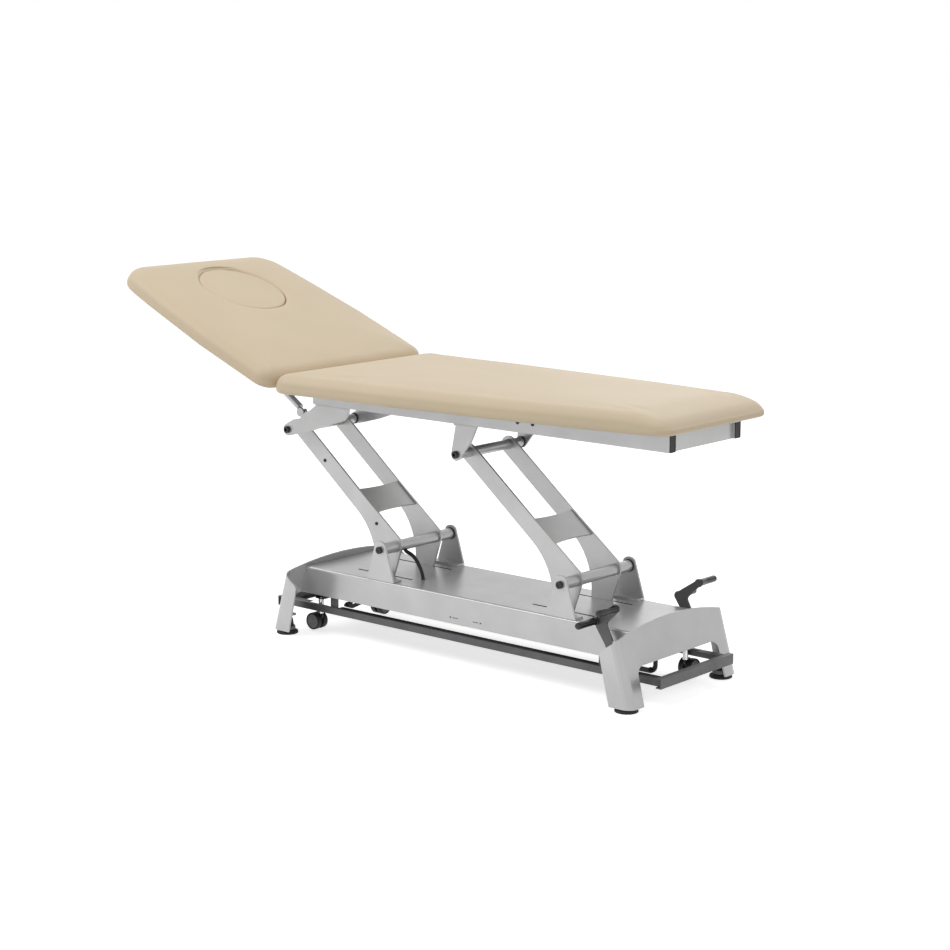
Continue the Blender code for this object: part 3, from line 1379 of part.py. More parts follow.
def castor_shaft(name, x, half_length):
    """A cross shaft with two fingers that push the beam down and a crank for the link."""
    shaft = rod(name, (x, -half_length, SHAFT_Z), (x, half_length, SHAFT_Z), SHAFT_RADIUS)
    hub = SHAFT_RADIUS + HUB_WALL
    tip = CRANK_PIN_RADIUS + HUB_WALL * 2
    finger = rounded([
        (x + hub, SHAFT_Z - hub, hub * EASE_SHARE), (x + hub, SHAFT_Z + hub, hub * EASE_SHARE),
        (x - CRANK_REACH - tip, SHAFT_Z + tip, tip * EASE_SHARE),
        (x - CRANK_REACH - tip, SHAFT_Z - tip, tip * EASE_SHARE),
    ])
    for side in (NEAR, FAR):
        weld(shaft, side_plate("finger", [finger], side * CRANK_Y, CRANK_SHEET))
        start = (x - CRANK_REACH, side * CRANK_Y, SHAFT_Z)
        end = (x - CRANK_REACH, side * (CRANK_Y - 5 * CRANK_SHEET / 2), SHAFT_Z)
        weld(shaft, rod("finger_pin", start, end, CRANK_PIN_RADIUS, SMALL_SIDES))
    bend_x = CASTOR_X + BEAM_WIDTH / 2 - SHAFT_X
    outline = rounded([
        (x - hub, SHAFT_Z - hub / 2, 0), (x - hub, SHAFT_Z + hub, hub * EASE_SHARE),
        (x + bend_x + LINK_CLEAR + LINK_CRANK_WIDTH, SHAFT_Z + hub, hub),
        (x + bend_x + LINK_CLEAR + LINK_CRANK_WIDTH, SHAFT_Z + LINK_PIN_Z - tip, 3 * tip),
        (x + LINK_PIN_X - tip, SHAFT_Z + LINK_PIN_Z - tip, tip * EASE_SHARE),
        (x + LINK_PIN_X - tip, SHAFT_Z + LINK_PIN_Z + tip, tip * EASE_SHARE),
        (x + bend_x + LINK_CLEAR, SHAFT_Z + LINK_PIN_Z + tip, tip),
        (x + bend_x + LINK_CLEAR, SHAFT_Z - hub, tip),
    ])
    weld(shaft, side_plate("link_crank", [outline], LINK_Y, CRANK_SHEET))
    start = (x + LINK_PIN_X, LINK_Y, SHAFT_Z + LINK_PIN_Z)
    end = (x + LINK_PIN_X, LINK_Y - 3 * CRANK_SHEET, SHAFT_Z + LINK_PIN_Z)
    weld(shaft, rod("link_pin", start, end, CRANK_PIN_RADIUS, SMALL_SIDES))
    return as_piece(shaft, "dark_steel", (x, 0, SHAFT_Z))


def castor_link():
    """The bar that joins the cranks of both shafts."""
    y = LINK_Y - CRANK_SHEET - GAP
    z = SHAFT_Z + LINK_PIN_Z
    head_x = HEAD_SHAFT_X + LINK_PIN_X
    foot_x = SHAFT_X + LINK_PIN_X
    half = LINK_WIDTH / 2
    bend = LINK_WIDTH
    head_low = LINK_HEAD_INSET - CASTOR_X
    foot_low = CASTOR_X - LINK_FOOT_INSET
    head_high = head_low + LINK_RAISE_RUN
    foot_high = foot_low - LINK_RAISE_RUN
    high = z + LINK_RAISE
    outline = rounded([
        (head_x - half, z - half, half * EASE_SHARE), (head_low, z - half, bend),
        (head_high, high - half, bend), (foot_high, high - half, bend),
        (foot_low, z - half, bend), (foot_x + half, z - half, half * EASE_SHARE),
        (foot_x + half, z + half, half * EASE_SHARE), (foot_low, z + half, bend),
        (foot_high, high + half, bend), (head_high, high + half, bend),
        (head_low, z + half, bend), (head_x - half, z + half, half * EASE_SHARE),
    ])
    holes = [circle(x, z, CRANK_PIN_RADIUS + GAP, SMALL_SIDES) for x in (head_x, foot_x)]
    link = side_plate("castor_link", [outline] + holes, y, CRANK_SHEET)
    return as_piece(link, "dark_steel", (foot_x, 0, z))


def castor_lever(name, side):
    """A two-armed foot lever with a grip at each arm's end."""
    outline = rounded([
        (SHAFT_X + sx * LEVER_LENGTH, SHAFT_Z + sz * LEVER_LENGTH, share * LEVER_LENGTH)
        for sx, sz, share in LEVER_SHARES
    ])
    hole = circle(SHAFT_X, SHAFT_Z, SHAFT_RADIUS + GAP)
    middle = side * LEVER_SPREAD / 2
    lever = side_plate(name, [outline, hole], middle, LEVER_SHEET)
    for sx, sz in GRIP_SHARES:
        x = SHAFT_X + sx * LEVER_LENGTH
        z = SHAFT_Z + sz * LEVER_LENGTH
        plate_y = middle + side * LEVER_SHEET / 2
        end = (x, plate_y + side * GRIP_LENGTH, z)
        ring_end = (x, plate_y + side * GRIP_RING_WIDTH, z)
        weld(lever, rod("grip", (x, middle, z), end, GRIP_RADIUS, SMALL_SIDES))
        weld(lever, rod("grip_ring", (x, middle, z), ring_end, GRIP_RING_RADIUS, SMALL_SIDES))
    return as_piece(lever, "dark_steel", (SHAFT_X, 0, SHAFT_Z))


def castor_set():
    castor_beam("castor_beam_head", -CASTOR_X, HEAD_SHAFT_X)
    castor_beam("castor_beam_foot", CASTOR_X, SHAFT_X)
    castor_shaft("castor_shaft_head", HEAD_SHAFT_X, SEAT_HALF - GAP)
    castor_shaft("castor_shaft_foot", SHAFT_X, LEVER_SPREAD / 2 + LEVER_SHEET)
    castor_link()
    castor_lever("castor_lever_near", NEAR)
    castor_lever("castor_lever_far", FAR)
    for end_name, side_name, end, side, yaw in CASTOR_YAWS:
        castor(end_name, side_name, end * CASTOR_X, side * CASTOR_Y, math.radians(yaw))


# Control loop round the base, with its hangers

def control_loop():
    low = LOOP_BAR_BOTTOM_Z
    high = low + LOOP_BAR_HEIGHT
    sheet = LOOP_END_SHEET
    for name, side in (("loop_bar_near", NEAR), ("loop_bar_far", FAR)):
        middle = side * LOOP_BAR_SPREAD / 2
        half = LOOP_BAR_WIDTH / 2
        bar = block(
            name, (LOOP_HEAD_X + sheet + GAP, middle - half, low),
            (LOOP_FOOT_X - sheet - GAP, middle + half, high),
        )
        as_piece(bar, "dark_steel")
    for name, end, x in (("loop_end_head", HEAD, LOOP_HEAD_X), ("loop_end_foot", FOOT, LOOP_FOOT_X)):
        back = x - end * LOOP_END_FLANGE
        web = x - end * sheet
        outline = [
            (x, low - GAP - sheet), (x, high + GAP + sheet), (back, high + GAP + sheet),
            (back, high + GAP), (web, high + GAP), (web, low - GAP), (back, low - GAP),
            (back, low - GAP - sheet),
        ]
        as_piece(side_plate(name, [outline], 0, 2 * LOOP_END_HALF), "dark_steel")
    bar_inner = LOOP_BAR_SPREAD / 2 - LOOP_BAR_WIDTH / 2
    half = HANGER_STRAP_WIDTH / 2
    for name, x in (("loop_hanger_head", -HANGER_X), ("loop_hanger_foot", HANGER_X)):
        reach = SEAT_HALF - GAP
        hanger = rod(
            name, (x, -reach, HANGER_Z), (x, reach, HANGER_Z), HANGER_SHAFT_RADIUS, SMALL_SIDES,
        )
        outline = rounded([
            (x - half, HANGER_Z + half, half * EASE_SHARE), (x - half, low + sheet, half / 2),
            (x + half, low + sheet, half / 2), (x + half, HANGER_Z + half, half * EASE_SHARE),
        ])
        for side in (NEAR, FAR):
            middle = side * (bar_inner - GAP - HANGER_STRAP_SHEET / 2)
            weld(hanger, side_plate("strap", [outline], middle, HANGER_STRAP_SHEET))
        as_piece(hanger, "dark_steel", (x, 0, HANGER_Z))


# Conduit from the head lifter's lower tube down through the deck

def smooth_route(points, step):
    """Points along a smooth curve through a route's own points."""
    route = [2 * points[0] - points[1]] + points + [2 * points[-1] - points[-2]]
    samples = []
    for index in range(1, len(route) - 2):
        before, first, second, after = route[index - 1:index + 3]
        count = max(1, round((second - first).length / step))
        for part in range(count):
            t = part / count
            bend = 2 * before - 5 * first + 4 * second - after
            twist = -before + 3 * first - 3 * second + after
            samples.append((2 * first + (second - before) * t + bend * t * t + twist * t ** 3) / 2)
    samples.append(points[-1])
    return samples


def conduit():
    start_angle = math.radians(CONDUIT_START_ANGLE)
    way = Vector((math.cos(start_angle), 0, -math.sin(start_angle)))
    pivot = Vector((HEAD_PIVOT_X, CONDUIT_Y, PIVOT_Z))
    first = pivot + way * (LOWER_TUBE_RADIUS + GAP)
    fall = pivot.z - DECK_Z
    run = CONDUIT_END_X - pivot.x
    route = [first, first + way * CONDUIT_RADIUS]
    route += [
        pivot + Vector((run * along, 0, -fall * drop)) for along, drop in CONDUIT_SHARES
    ]
    end = Vector((CONDUIT_END_X, CONDUIT_Y, DECK_Z))
    route += [end, end - Vector((0, 0, CONDUIT_INSIDE))]
    points = smooth_route(route, 2 * CONDUIT_RADIUS)
    curve = bpy.data.curves.new("conduit", "CURVE")
    curve.dimensions = "3D"
    curve.bevel_depth = CONDUIT_RADIUS
    curve.bevel_resolution = 3
    curve.use_fill_caps = True
    spline = curve.splines.new("POLY")
    spline.points.add(len(points) - 1)
    for place, point in zip(spline.points, points):
        place.co = (*point, 1)
    tube = bpy.data.objects.new("conduit", curve)
    CUTTERS.objects.link(tube)
    bpy.context.view_layer.update()
    return as_piece(settled(tube), "black_plastic", (HEAD_PIVOT_X, 0, PIVOT_Z))


# The whole table

def centre_on_origin():
    """Move the table so that the middle of its length is at the origin."""
    depsgraph = bpy.context.evaluated_depsgraph_get()
    low = math.inf
    high = -math.inf
    for piece in TABLE.objects:
        if piece.type != "MESH":
            continue
        solid = piece.evaluated_get(depsgraph)
        for vertex in solid.data.vertices:
            x = (solid.matrix_world @ vertex.co).x
            low = min(low, x)
            high = max(high, x)
    ROOT.location.x = -(low + high) / 2


def build_table():
    base_channel()
    end_panels()
    for end_name, end in (("head", HEAD), ("foot", FOOT)):
        for side_name, side in (("near", NEAR), ("far", FAR)):
            name = "levelling_foot_%s_%s" % (end_name, side_name)
            levelling_foot(name, end * FOOT_X, side * FOOT_Y)
    lifter("head", HEAD_PIVOT_X, True)
    lifter("foot", FOOT_PIVOT_X, False)
    top_rail("top_rail_near", NEAR)
    top_rail("top_rail_far", FAR)
    cross_member_head()
    cross_member_foot()
    upper_brackets()
    body_cushion()
    head_cushion()
    face_plug()
    head_frame()
    gas_spring()
    actuator()
    control_box()
    castor_set()
    control_loop()
    conduit()
    bpy.context.view_layer.update()
    centre_on_origin()
    bpy.context.view_layer.update()


build_table()
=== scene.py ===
import math

import bmesh
import bpy
from mathutils import Matrix, Vector


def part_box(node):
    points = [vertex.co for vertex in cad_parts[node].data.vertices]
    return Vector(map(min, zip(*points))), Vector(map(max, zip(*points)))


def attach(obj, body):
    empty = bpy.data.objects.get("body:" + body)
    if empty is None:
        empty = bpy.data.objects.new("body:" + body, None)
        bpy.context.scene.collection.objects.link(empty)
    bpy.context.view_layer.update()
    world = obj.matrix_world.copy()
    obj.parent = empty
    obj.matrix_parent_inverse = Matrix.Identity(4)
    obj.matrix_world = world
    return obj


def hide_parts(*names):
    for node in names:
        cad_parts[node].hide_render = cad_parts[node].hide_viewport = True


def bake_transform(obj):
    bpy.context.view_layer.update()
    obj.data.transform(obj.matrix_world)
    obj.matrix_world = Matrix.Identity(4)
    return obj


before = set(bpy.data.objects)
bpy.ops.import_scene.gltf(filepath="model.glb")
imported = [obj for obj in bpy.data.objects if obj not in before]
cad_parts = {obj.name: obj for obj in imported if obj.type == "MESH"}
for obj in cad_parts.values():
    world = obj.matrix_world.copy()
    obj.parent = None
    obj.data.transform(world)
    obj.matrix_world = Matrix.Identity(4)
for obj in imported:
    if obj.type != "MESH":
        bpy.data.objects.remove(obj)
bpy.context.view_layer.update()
print("stage: frame loaded,", len(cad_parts), "nodes")


# The table's own sizes, in metres: x 0 is the middle of the base before it is shifted
table = {
    "shift": 0.2460,  # from the base's middle to the table's own origin
    "hingeX": -0.5566,
    "cushionBase": 0.7256,
    "cushionHeight": 0.055,
    "headTilt": math.radians(21.9),
}


def toLinear(code):
    values = [int(code[i:i + 2], 16) / 255 for i in (0, 2, 4)]
    return tuple(v / 12.92 if v <= 0.04045 else ((v + 0.055) / 1.055) ** 2.4 for v in values) + (1,)


def addNode(tree, kind, values=None, links=None, **settings):
    node = tree.nodes.new(kind)
    for key, value in settings.items():
        setattr(node, key, value)
    for key, value in (values or {}).items():
        node.inputs[key].default_value = value
    for key, (source, output) in (links or {}).items():
        tree.links.new(source.outputs[output], node.inputs[key])
    return node


# Camera

camera = {"place": (4.1080, -4.6426, 1.6374), "tip": 80.42, "turn": 40.696, "lens": 83.904,
          "shiftX": 0.0150, "shiftY": -0.0400}
eye = bpy.data.objects.new("camera", bpy.data.cameras.new("camera"))
bpy.context.scene.collection.objects.link(eye)
eye.location = camera["place"]
eye.rotation_euler = (math.radians(camera["tip"]), 0, math.radians(camera["turn"]))
eye.data.lens = camera["lens"]
eye.data.shift_x = camera["shiftX"]
eye.data.shift_y = camera["shiftY"]
eye.data.clip_end = 60
bpy.context.scene.camera = eye
bpy.context.scene.view_settings.view_transform = "Standard"


# Studio: a white floor that keeps the shadow, a white surround, soft lamps

studio = {
    "floorHex": "F4F4F4", "floorShare": 0.94, "floorGlow": 0.70, "floorSize": 30.0,
    "world": 0.42, "lampsAim": (0.1, 0, 0.5),
    "lamps": (
        ("keyLamp", (-2.2, -2.6, 3.6), (3.0, 2.4), 62),
        ("topLamp", (0.6, 0.6, 4.2), (3.6, 2.4), 42),
        ("fillLamp", (4.5, -1.5, 2.6), (2.4, 2.4), 14),
        ("backLamp", (-1.0, 4.2, 2.4), (3.0, 1.8), 14),
    ),
}


def makeStudio():
    world = bpy.data.worlds.new("studio")
    bpy.context.scene.world = world
    world.use_nodes = True
    tree = world.node_tree
    tree.nodes.clear()
    path = addNode(tree, "ShaderNodeLightPath")
    direct = addNode(tree, "ShaderNodeMath", links={0: (path, "Is Camera Ray"), 1: (path, "Is Transmission Ray")},
                     operation="MAXIMUM")
    seen = addNode(tree, "ShaderNodeMath", links={0: (direct, 0), 1: (path, "Is Glossy Ray")}, operation="MAXIMUM")
    soft = addNode(tree, "ShaderNodeBackground", {"Color": (1, 1, 1, 1), "Strength": studio["world"]})
    white = addNode(tree, "ShaderNodeBackground", {"Color": (1, 1, 1, 1), "Strength": 1.0})
    both = addNode(tree, "ShaderNodeMixShader", links={0: (seen, 0), 1: (soft, 0), 2: (white, 0)})
    addNode(tree, "ShaderNodeOutputWorld", links={"Surface": (both, 0)})

    material = bpy.data.materials.new("studioFloor")
    material.use_nodes = True
    tree = material.node_tree
    tree.nodes.clear()
    path = addNode(tree, "ShaderNodeLightPath")
    seen = addNode(tree, "ShaderNodeMath", links={0: (path, "Is Camera Ray"), 1: (path, "Is Glossy Ray")},
                   operation="MAXIMUM")
    share = studio["floorShare"]
    paper = addNode(tree, "ShaderNodeBsdfDiffuse", {"Color": toLinear(studio["floorHex"])})
    dim = addNode(tree, "ShaderNodeBsdfDiffuse", {"Color": (share, share, share, 1)})
    glow = addNode(tree, "ShaderNodeEmission", {"Strength": studio["floorGlow"]})
    lit = addNode(tree, "ShaderNodeAddShader", links={0: (dim, 0), 1: (glow, 0)})
    both = addNode(tree, "ShaderNodeMixShader", links={0: (seen, 0), 1: (paper, 0), 2: (lit, 0)})
    addNode(tree, "ShaderNodeOutputMaterial", links={"Surface": (both, 0)})

    half = studio["floorSize"]
    sheet = bpy.data.meshes.new("studioFloor")
    sheet.from_pydata([(-half, -half, 0), (half, -half, 0), (half, half, 0), (-half, half, 0)], [], [(0, 1, 2, 3)])
    sheet.materials.append(material)
    floor = bpy.data.objects.new("studioFloor", sheet)
    bpy.context.scene.collection.objects.link(floor)

    for name, place, size, power in studio["lamps"]:
        lamp = bpy.data.lights.new(name, "AREA")
        lamp.shape = "RECTANGLE"
        lamp.size, lamp.size_y = size
        lamp.energy = power
        holder = bpy.data.objects.new(name, lamp)
        bpy.context.scene.collection.objects.link(holder)
        holder.location = place
        aim = Vector(studio["lampsAim"]) - Vector(place)
        holder.rotation_euler = aim.to_track_quat("-Z", "Y").to_euler()


makeStudio()
print("stage: studio")


# Finishes, each named for what it really is and how its surface was made

finishes = {
    # polyester powder coat over steel, baked silver grey: satin, a fine orange peel, no brushing
    "satinPowderCoat": {"hex": "C6C6C6", "hexTwo": "C0C0C0", "patch": 90, "metallic": 0.45, "roughness": 0.30,
                        "grain": 2.4, "bump": 0.012, "wear": 0.02, "edge": 0.0010},
    # the same coat in graphite on the hand and foot controls: deeper colour, duller
    "graphitePowderCoat": {"hex": "626264", "hexTwo": "5A5A5C", "patch": 60, "metallic": 0.30, "roughness": 0.40,
                           "grain": 0.9, "bump": 0.06, "wear": 0.05, "edge": 0.0008},
    # black oxide on screws, castor beams and link: oily sheen, dark but not black at the edge
    "blackOxide": {"hex": "2A2A2C", "hexTwo": "333336", "patch": 4, "metallic": 0.2, "roughness": 0.48,
                   "grain": 0.5, "bump": 0.06, "wear": 0.06},
    # injection moulded nylon of tyres, plugs and bushes, spark eroded mould: even, slightly grainy black
    "mouldedNylon": {"hex": "19191A", "hexTwo": "202021", "patch": 12, "metallic": 0.0, "roughness": 0.55,
                     "grain": 0.7, "bump": 0.15, "wear": 0.04},
    # bright chrome over nickel on stems and rods: a clean mirror, faintly hazed
    "chromePlate": {"hex": "D4D4D6", "hexTwo": "CBCBCE", "patch": 20, "metallic": 1.0, "roughness": 0.14,
                    "grain": 0.8, "bump": 0.02, "wear": 0.03},
    # zinc plate on small steel parts: cooler and duller than chrome
    "zincPlate": {"hex": "A9ABAD", "hexTwo": "989A9D", "patch": 8, "metallic": 1.0, "roughness": 0.34,
                  "grain": 1.0, "bump": 0.06, "wear": 0.06},
    # anodised aluminium of the actuator's and the gas spring's tubes: dull, even silver with a soft shine
    "anodisedAluminium": {"hex": "B4B5B6", "hexTwo": "ABACAD", "patch": 25, "metallic": 1.0, "roughness": 0.4,
                          "grain": 0.9, "bump": 0.08, "wear": 0.05},
    # moulded grey nylon of the castor discs and collars: even, a little lighter than its black tyres
    "greyNylon": {"hex": "8C8C8E", "hexTwo": "828284", "patch": 9, "metallic": 0.0, "roughness": 0.46,
                  "grain": 0.7, "bump": 0.08, "wear": 0.05},
    # dipped vinyl of the grips: black, smooth and glossy, slightly wavy from the dip
    "dippedVinyl": {"hex": "121213", "hexTwo": "171718", "patch": 14, "metallic": 0.0, "roughness": 0.24,
                    "grain": 3.0, "bump": 0.04, "wear": 0.05},
    # rubber of the feet, moulded: matt, very slightly porous
    "foamRubber": {"hex": "242426", "hexTwo": "2C2C2E", "patch": 7, "metallic": 0.0, "roughness": 0.78,
                   "grain": 1.4, "bump": 0.25, "wear": 0.03},
}


def makeFinish(name, facts):
    material = bpy.data.materials.new(name)
    material.use_nodes = True
    tree = material.node_tree
    tree.nodes.clear()
    place = addNode(tree, "ShaderNodeTexCoord")
    patches = addNode(tree, "ShaderNodeTexNoise", {"Scale": 1000 / facts["patch"], "Detail": 3.0},
                      {"Vector": (place, "Object")})
    ramp = addNode(tree, "ShaderNodeValToRGB", links={"Fac": (patches, 0)})
    ramp.color_ramp.elements[0].position = 0.35
    ramp.color_ramp.elements[1].position = 0.65
    ramp.color_ramp.elements[0].color = toLinear(facts["hex"])
    ramp.color_ramp.elements[1].color = toLinear(facts["hexTwo"])
    # grain in millimetres, drawn a little coarser than the real one so that it shows
    grain = addNode(tree, "ShaderNodeTexNoise", {"Scale": 1000 / facts["grain"], "Detail": 2.0},
                    {"Vector": (place, "Object")})
    dull = addNode(tree, "ShaderNodeMapRange", {
        "From Min": 0.3, "From Max": 0.7,
        "To Min": facts["roughness"] - facts["wear"], "To Max": facts["roughness"] + facts["wear"],
    }, {"Value": (patches, 0)})
    relief = addNode(tree, "ShaderNodeBump", {"Strength": facts["bump"], "Distance": 0.0003},
                     {"Height": (grain, 0)})
    if "edge" in facts:  # bent and sheared edges catch the light on a small round
        worn = addNode(tree, "ShaderNodeBevel", {"Radius": facts["edge"]}, samples=2)
        tree.links.new(worn.outputs[0], relief.inputs["Normal"])
    colour = (ramp, 0)
    if "inside" in facts:  # painted shade: a dark colour on the inner faces and in the slots, which lie in shadow, inside |y| and z limits
        parts = addNode(tree, "ShaderNodeSeparateXYZ", links={0: (place, "Object")})
        side = addNode(tree, "ShaderNodeMath", links={0: (parts, "Y")}, operation="ABSOLUTE")
        masks = []
        for half, high in facts["paintedShadeBoxes"]:
            narrow = addNode(tree, "ShaderNodeMath", {1: half}, {0: (side, 0)}, operation="LESS_THAN")
            low = addNode(tree, "ShaderNodeMath", {1: high}, {0: (parts, "Z")}, operation="LESS_THAN")
            masks.append(addNode(tree, "ShaderNodeMath", links={0: (narrow, 0), 1: (low, 0)}, operation="MULTIPLY"))
        shadeMask = addNode(tree, "ShaderNodeMath", links={0: (masks[0], 0), 1: (masks[1], 0)}, operation="MAXIMUM")
        mixed = addNode(tree, "ShaderNodeMix", links={"Factor": (shadeMask, 0)}, data_type="RGBA")
        tree.links.new(ramp.outputs[0], mixed.inputs[6])
        mixed.inputs[7].default_value = toLinear(facts["inside"])
        colour = (mixed, 2)
    skin = addNode(tree, "ShaderNodeBsdfPrincipled", {"Metallic": facts["metallic"]}, {
        "Base Color": colour, "Roughness": (dull, 0), "Normal": (relief, 0),
    })
    addNode(tree, "ShaderNodeOutputMaterial", links={"Surface": (skin, 0)})
    return material


# the base channel's satin coat, with painted shade on its inner faces and in its slots
finishes["channelCoatWithPaintedShade"] = dict(finishes["satinPowderCoat"], inside="2A2A2B",
                                     paintedShadeBoxes=((0.1505, 0.1917), (0.1523, 0.1893)))
finish = {name: makeFinish(name, facts) for name, facts in finishes.items()}


# Upholstery vinyl: PVC on a knitted back, embossed with a fine leather grain, soft sheen

vinylFacts = {"hex": "DBC9AC", "hexTwo": "D8C6A9", "patch": 160, "grain": 1.6, "bump": 0.10, "roughness": 0.44}


def makeVinyl():
    material = bpy.data.materials.new("embossedVinyl")
    material.use_nodes = True
    tree = material.node_tree
    tree.nodes.clear()
    place = addNode(tree, "ShaderNodeTexCoord")
    tone = addNode(tree, "ShaderNodeTexNoise", {"Scale": 1000 / vinylFacts["patch"], "Detail": 2.0},
                   {"Vector": (place, "Object")})
    ramp = addNode(tree, "ShaderNodeValToRGB", links={"Fac": (tone, 0)})
    ramp.color_ramp.elements[0].position = 0.3
    ramp.color_ramp.elements[1].position = 0.7
    ramp.color_ramp.elements[0].color = toLinear(vinylFacts["hex"])
    ramp.color_ramp.elements[1].color = toLinear(vinylFacts["hexTwo"])
    # leather grain: real cells are about 0.8 mm, drawn at 1.6 mm so that they catch the light
    cells = addNode(tree, "ShaderNodeTexVoronoi", {"Scale": 1000 / vinylFacts["grain"]},
                    {"Vector": (place, "Object")}, feature="DISTANCE_TO_EDGE")
    creases = addNode(tree, "ShaderNodeMapRange", {"From Min": 0.0, "From Max": 0.12}, {"Value": (cells, 0)})
    relief = addNode(tree, "ShaderNodeBump", {"Strength": vinylFacts["bump"], "Distance": 0.0004},
                     {"Height": (creases, 0)})
    sheen = addNode(tree, "ShaderNodeMapRange", {
        "To Min": vinylFacts["roughness"] + 0.08, "To Max": vinylFacts["roughness"],
    }, {"Value": (creases, 0)})
    skin = addNode(tree, "ShaderNodeBsdfPrincipled", {"Specular IOR Level": 0.35, "Sheen Weight": 0.06}, {
        "Base Color": (ramp, 0), "Roughness": (sheen, 0), "Normal": (relief, 0),
    })
    addNode(tree, "ShaderNodeOutputMaterial", links={"Surface": (skin, 0)})
    return material


finish["embossedVinyl"] = makeVinyl()


# Needle felt under the boards: pressed black fibres, matt, a lighter fleck here and there

def makeFelt():
    material = bpy.data.materials.new("needleFelt")
    material.use_nodes = True
    tree = material.node_tree
    tree.nodes.clear()
    place = addNode(tree, "ShaderNodeTexCoord")
    fibres = addNode(tree, "ShaderNodeTexNoise", {"Scale": 420, "Detail": 6.0, "Distortion": 1.4},
                     {"Vector": (place, "Object")})
    ramp = addNode(tree, "ShaderNodeValToRGB", links={"Fac": (fibres, 0)})
    ramp.color_ramp.elements[0].color = toLinear("161617")
    ramp.color_ramp.elements[1].color = toLinear("3A3A3C")
    relief = addNode(tree, "ShaderNodeBump", {"Strength": 0.4, "Distance": 0.0006}, {"Height": (fibres, 0)})
    skin = addNode(tree, "ShaderNodeBsdfPrincipled", {"Roughness": 0.92, "Sheen Weight": 0.15}, {
        "Base Color": (ramp, 0), "Normal": (relief, 0),
    })
    addNode(tree, "ShaderNodeOutputMaterial", links={"Surface": (skin, 0)})
    return material


finish["needleFelt"] = makeFelt()
print("stage: finishes")


# Which finish each kept CAD piece takes

finishOf = (
    (("castor_wheels", "castor_fork"), "mouldedNylon"),
    (("base_channel",), "channelCoatWithPaintedShade"),
    (("castor_shaft", "castor_link", "castor_beam"), "blackOxide"),
    (("castor_lever", "loop_"), "graphitePowderCoat"),
    (("control_box",), "mouldedNylon"),
    (("actuator_body",), "anodisedAluminium"),
    (("gas_cylinder",), "anodisedAluminium"),
    (("actuator_rod", "gas_rod"), "chromePlate"),
    (("levelling_foot",), "foamRubber"),
    (("",), "satinPowderCoat"),
)
for nodeName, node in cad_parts.items():
    for starts, name in finishOf:
        if nodeName.startswith(starts):
            node.data.materials.clear()
            node.data.materials.append(finish[name])
            break
print("stage: CAD pieces painted")


# Cushions: firm foam on a board under stretched vinyl, swollen a little by a short cloth run

cushions = {
    # how far out from the middle, or from the hole, each ring of the top lies
    "plainShares": (0.985, 0.965, 0.94, 0.91, 0.88, 0.84, 0.79, 0.73, 0.61, 0.48, 0.36, 0.25, 0.15),
    "holedShares": (0.9, 0.76, 0.6, 0.44, 0.3, 0.18, 0.08),
    "halfWidth": 0.339, "underRound": 0.012, "edgeRound": 0.038, "edgeFall": 0.60, "crown": 0.0045,
    "bodyEnd": 0.7375, "bodySeam": 0.0055, "bodyCorner": 0.046, "headCorner": 0.090, "seamCorner": 0.044,
    "headLength": 0.7197, "hingeRise": 0.024, "points": 520, "sideEase": 0.12,
    "swell": 4.0, "cap": 0.0020,  # cloth pressure, and the most that it may move a point
    "footFall": 0.026, "footRun": 0.120,  # how far and over what length the top drops to the foot end
    "bodyWidths": ((0.00, 1.000), (0.16, 0.962), (0.32, 0.950), (0.43, 0.914), (0.58, 0.870),
                   (0.69, 0.838), (0.81, 0.788), (0.87, 0.758), (1.00, 0.700)),
    "headWidths": ((0.00, 1.000), (0.41, 1.000), (0.49, 0.987), (0.58, 0.972), (0.66, 0.960),
                   (0.76, 0.942), (0.86, 0.918), (1.00, 0.878)),
}
plug = {"radius": 0.135, "along": 0.4947, "gap": 0.0012, "shoulder": 0.007, "crown": 0.0035, "sides": 120}


def roundedLoop(corners, steps=12):
    points = []
    for index, (x, y, radius) in enumerate(corners):
        here = Vector((x, y))
        before = (Vector(corners[index - 1][:2]) - here).normalized()
        after = (Vector(corners[(index + 1) % len(corners)][:2]) - here).normalized()
        opening = before.angle(after)
        if radius == 0 or opening > math.radians(179):
            points.append(here)
            continue
        start = here + before * radius / math.tan(opening / 2)
        end = here + after * radius / math.tan(opening / 2)
        centre = here + (before + after).normalized() * radius / math.sin(opening / 2)
        for step in range(steps + 1):
            arm = (start - centre).lerp(end - centre, step / steps).normalized() * radius
            points.append(centre + arm)
    return points


def evenLoop(points, count):  # the same outline with points at equal steps, corners eased
    closed = points + [points[0]]
    lengths = [0.0]
    for first, second in zip(closed, closed[1:]):
        lengths.append(lengths[-1] + (second - first).length)
    even = []
    at = 0
    for step in range(count):
        want = lengths[-1] * step / count
        while lengths[at + 1] < want:
            at += 1
        share = (want - lengths[at]) / (lengths[at + 1] - lengths[at])
        even.append(closed[at].lerp(closed[at + 1], share))
    for _ in range(6):
        even = [(even[i - 1] + even[i] * 2 + even[(i + 1) % count]) / 4 for i in range(count)]
    return even


def padLoop(start, end, widths, startCorner, endCorner):
    near = []
    for index, (along, width) in enumerate(widths):
        radius = startCorner if index == 0 else endCorner if index == len(widths) - 1 else cushions["sideEase"]
        near.append((start + (end - start) * along, -cushions["halfWidth"] * width, radius))
    far = [(x, -y, radius) for x, y, radius in reversed(near)]
    loop = evenLoop(roundedLoop(near + far), cushions["points"])
    area = sum(a.x * b.y - b.x * a.y for a, b in zip(loop, loop[1:] + loop[:1]))
    return loop if area > 0 else loop[::-1]


def inset(loop, distance):
    moved = []
    for index, here in enumerate(loop):
        way = loop[(index + 1) % len(loop)] - loop[index - 1]
        moved.append(here + Vector((-way.y, way.x)).normalized() * distance)
    return moved


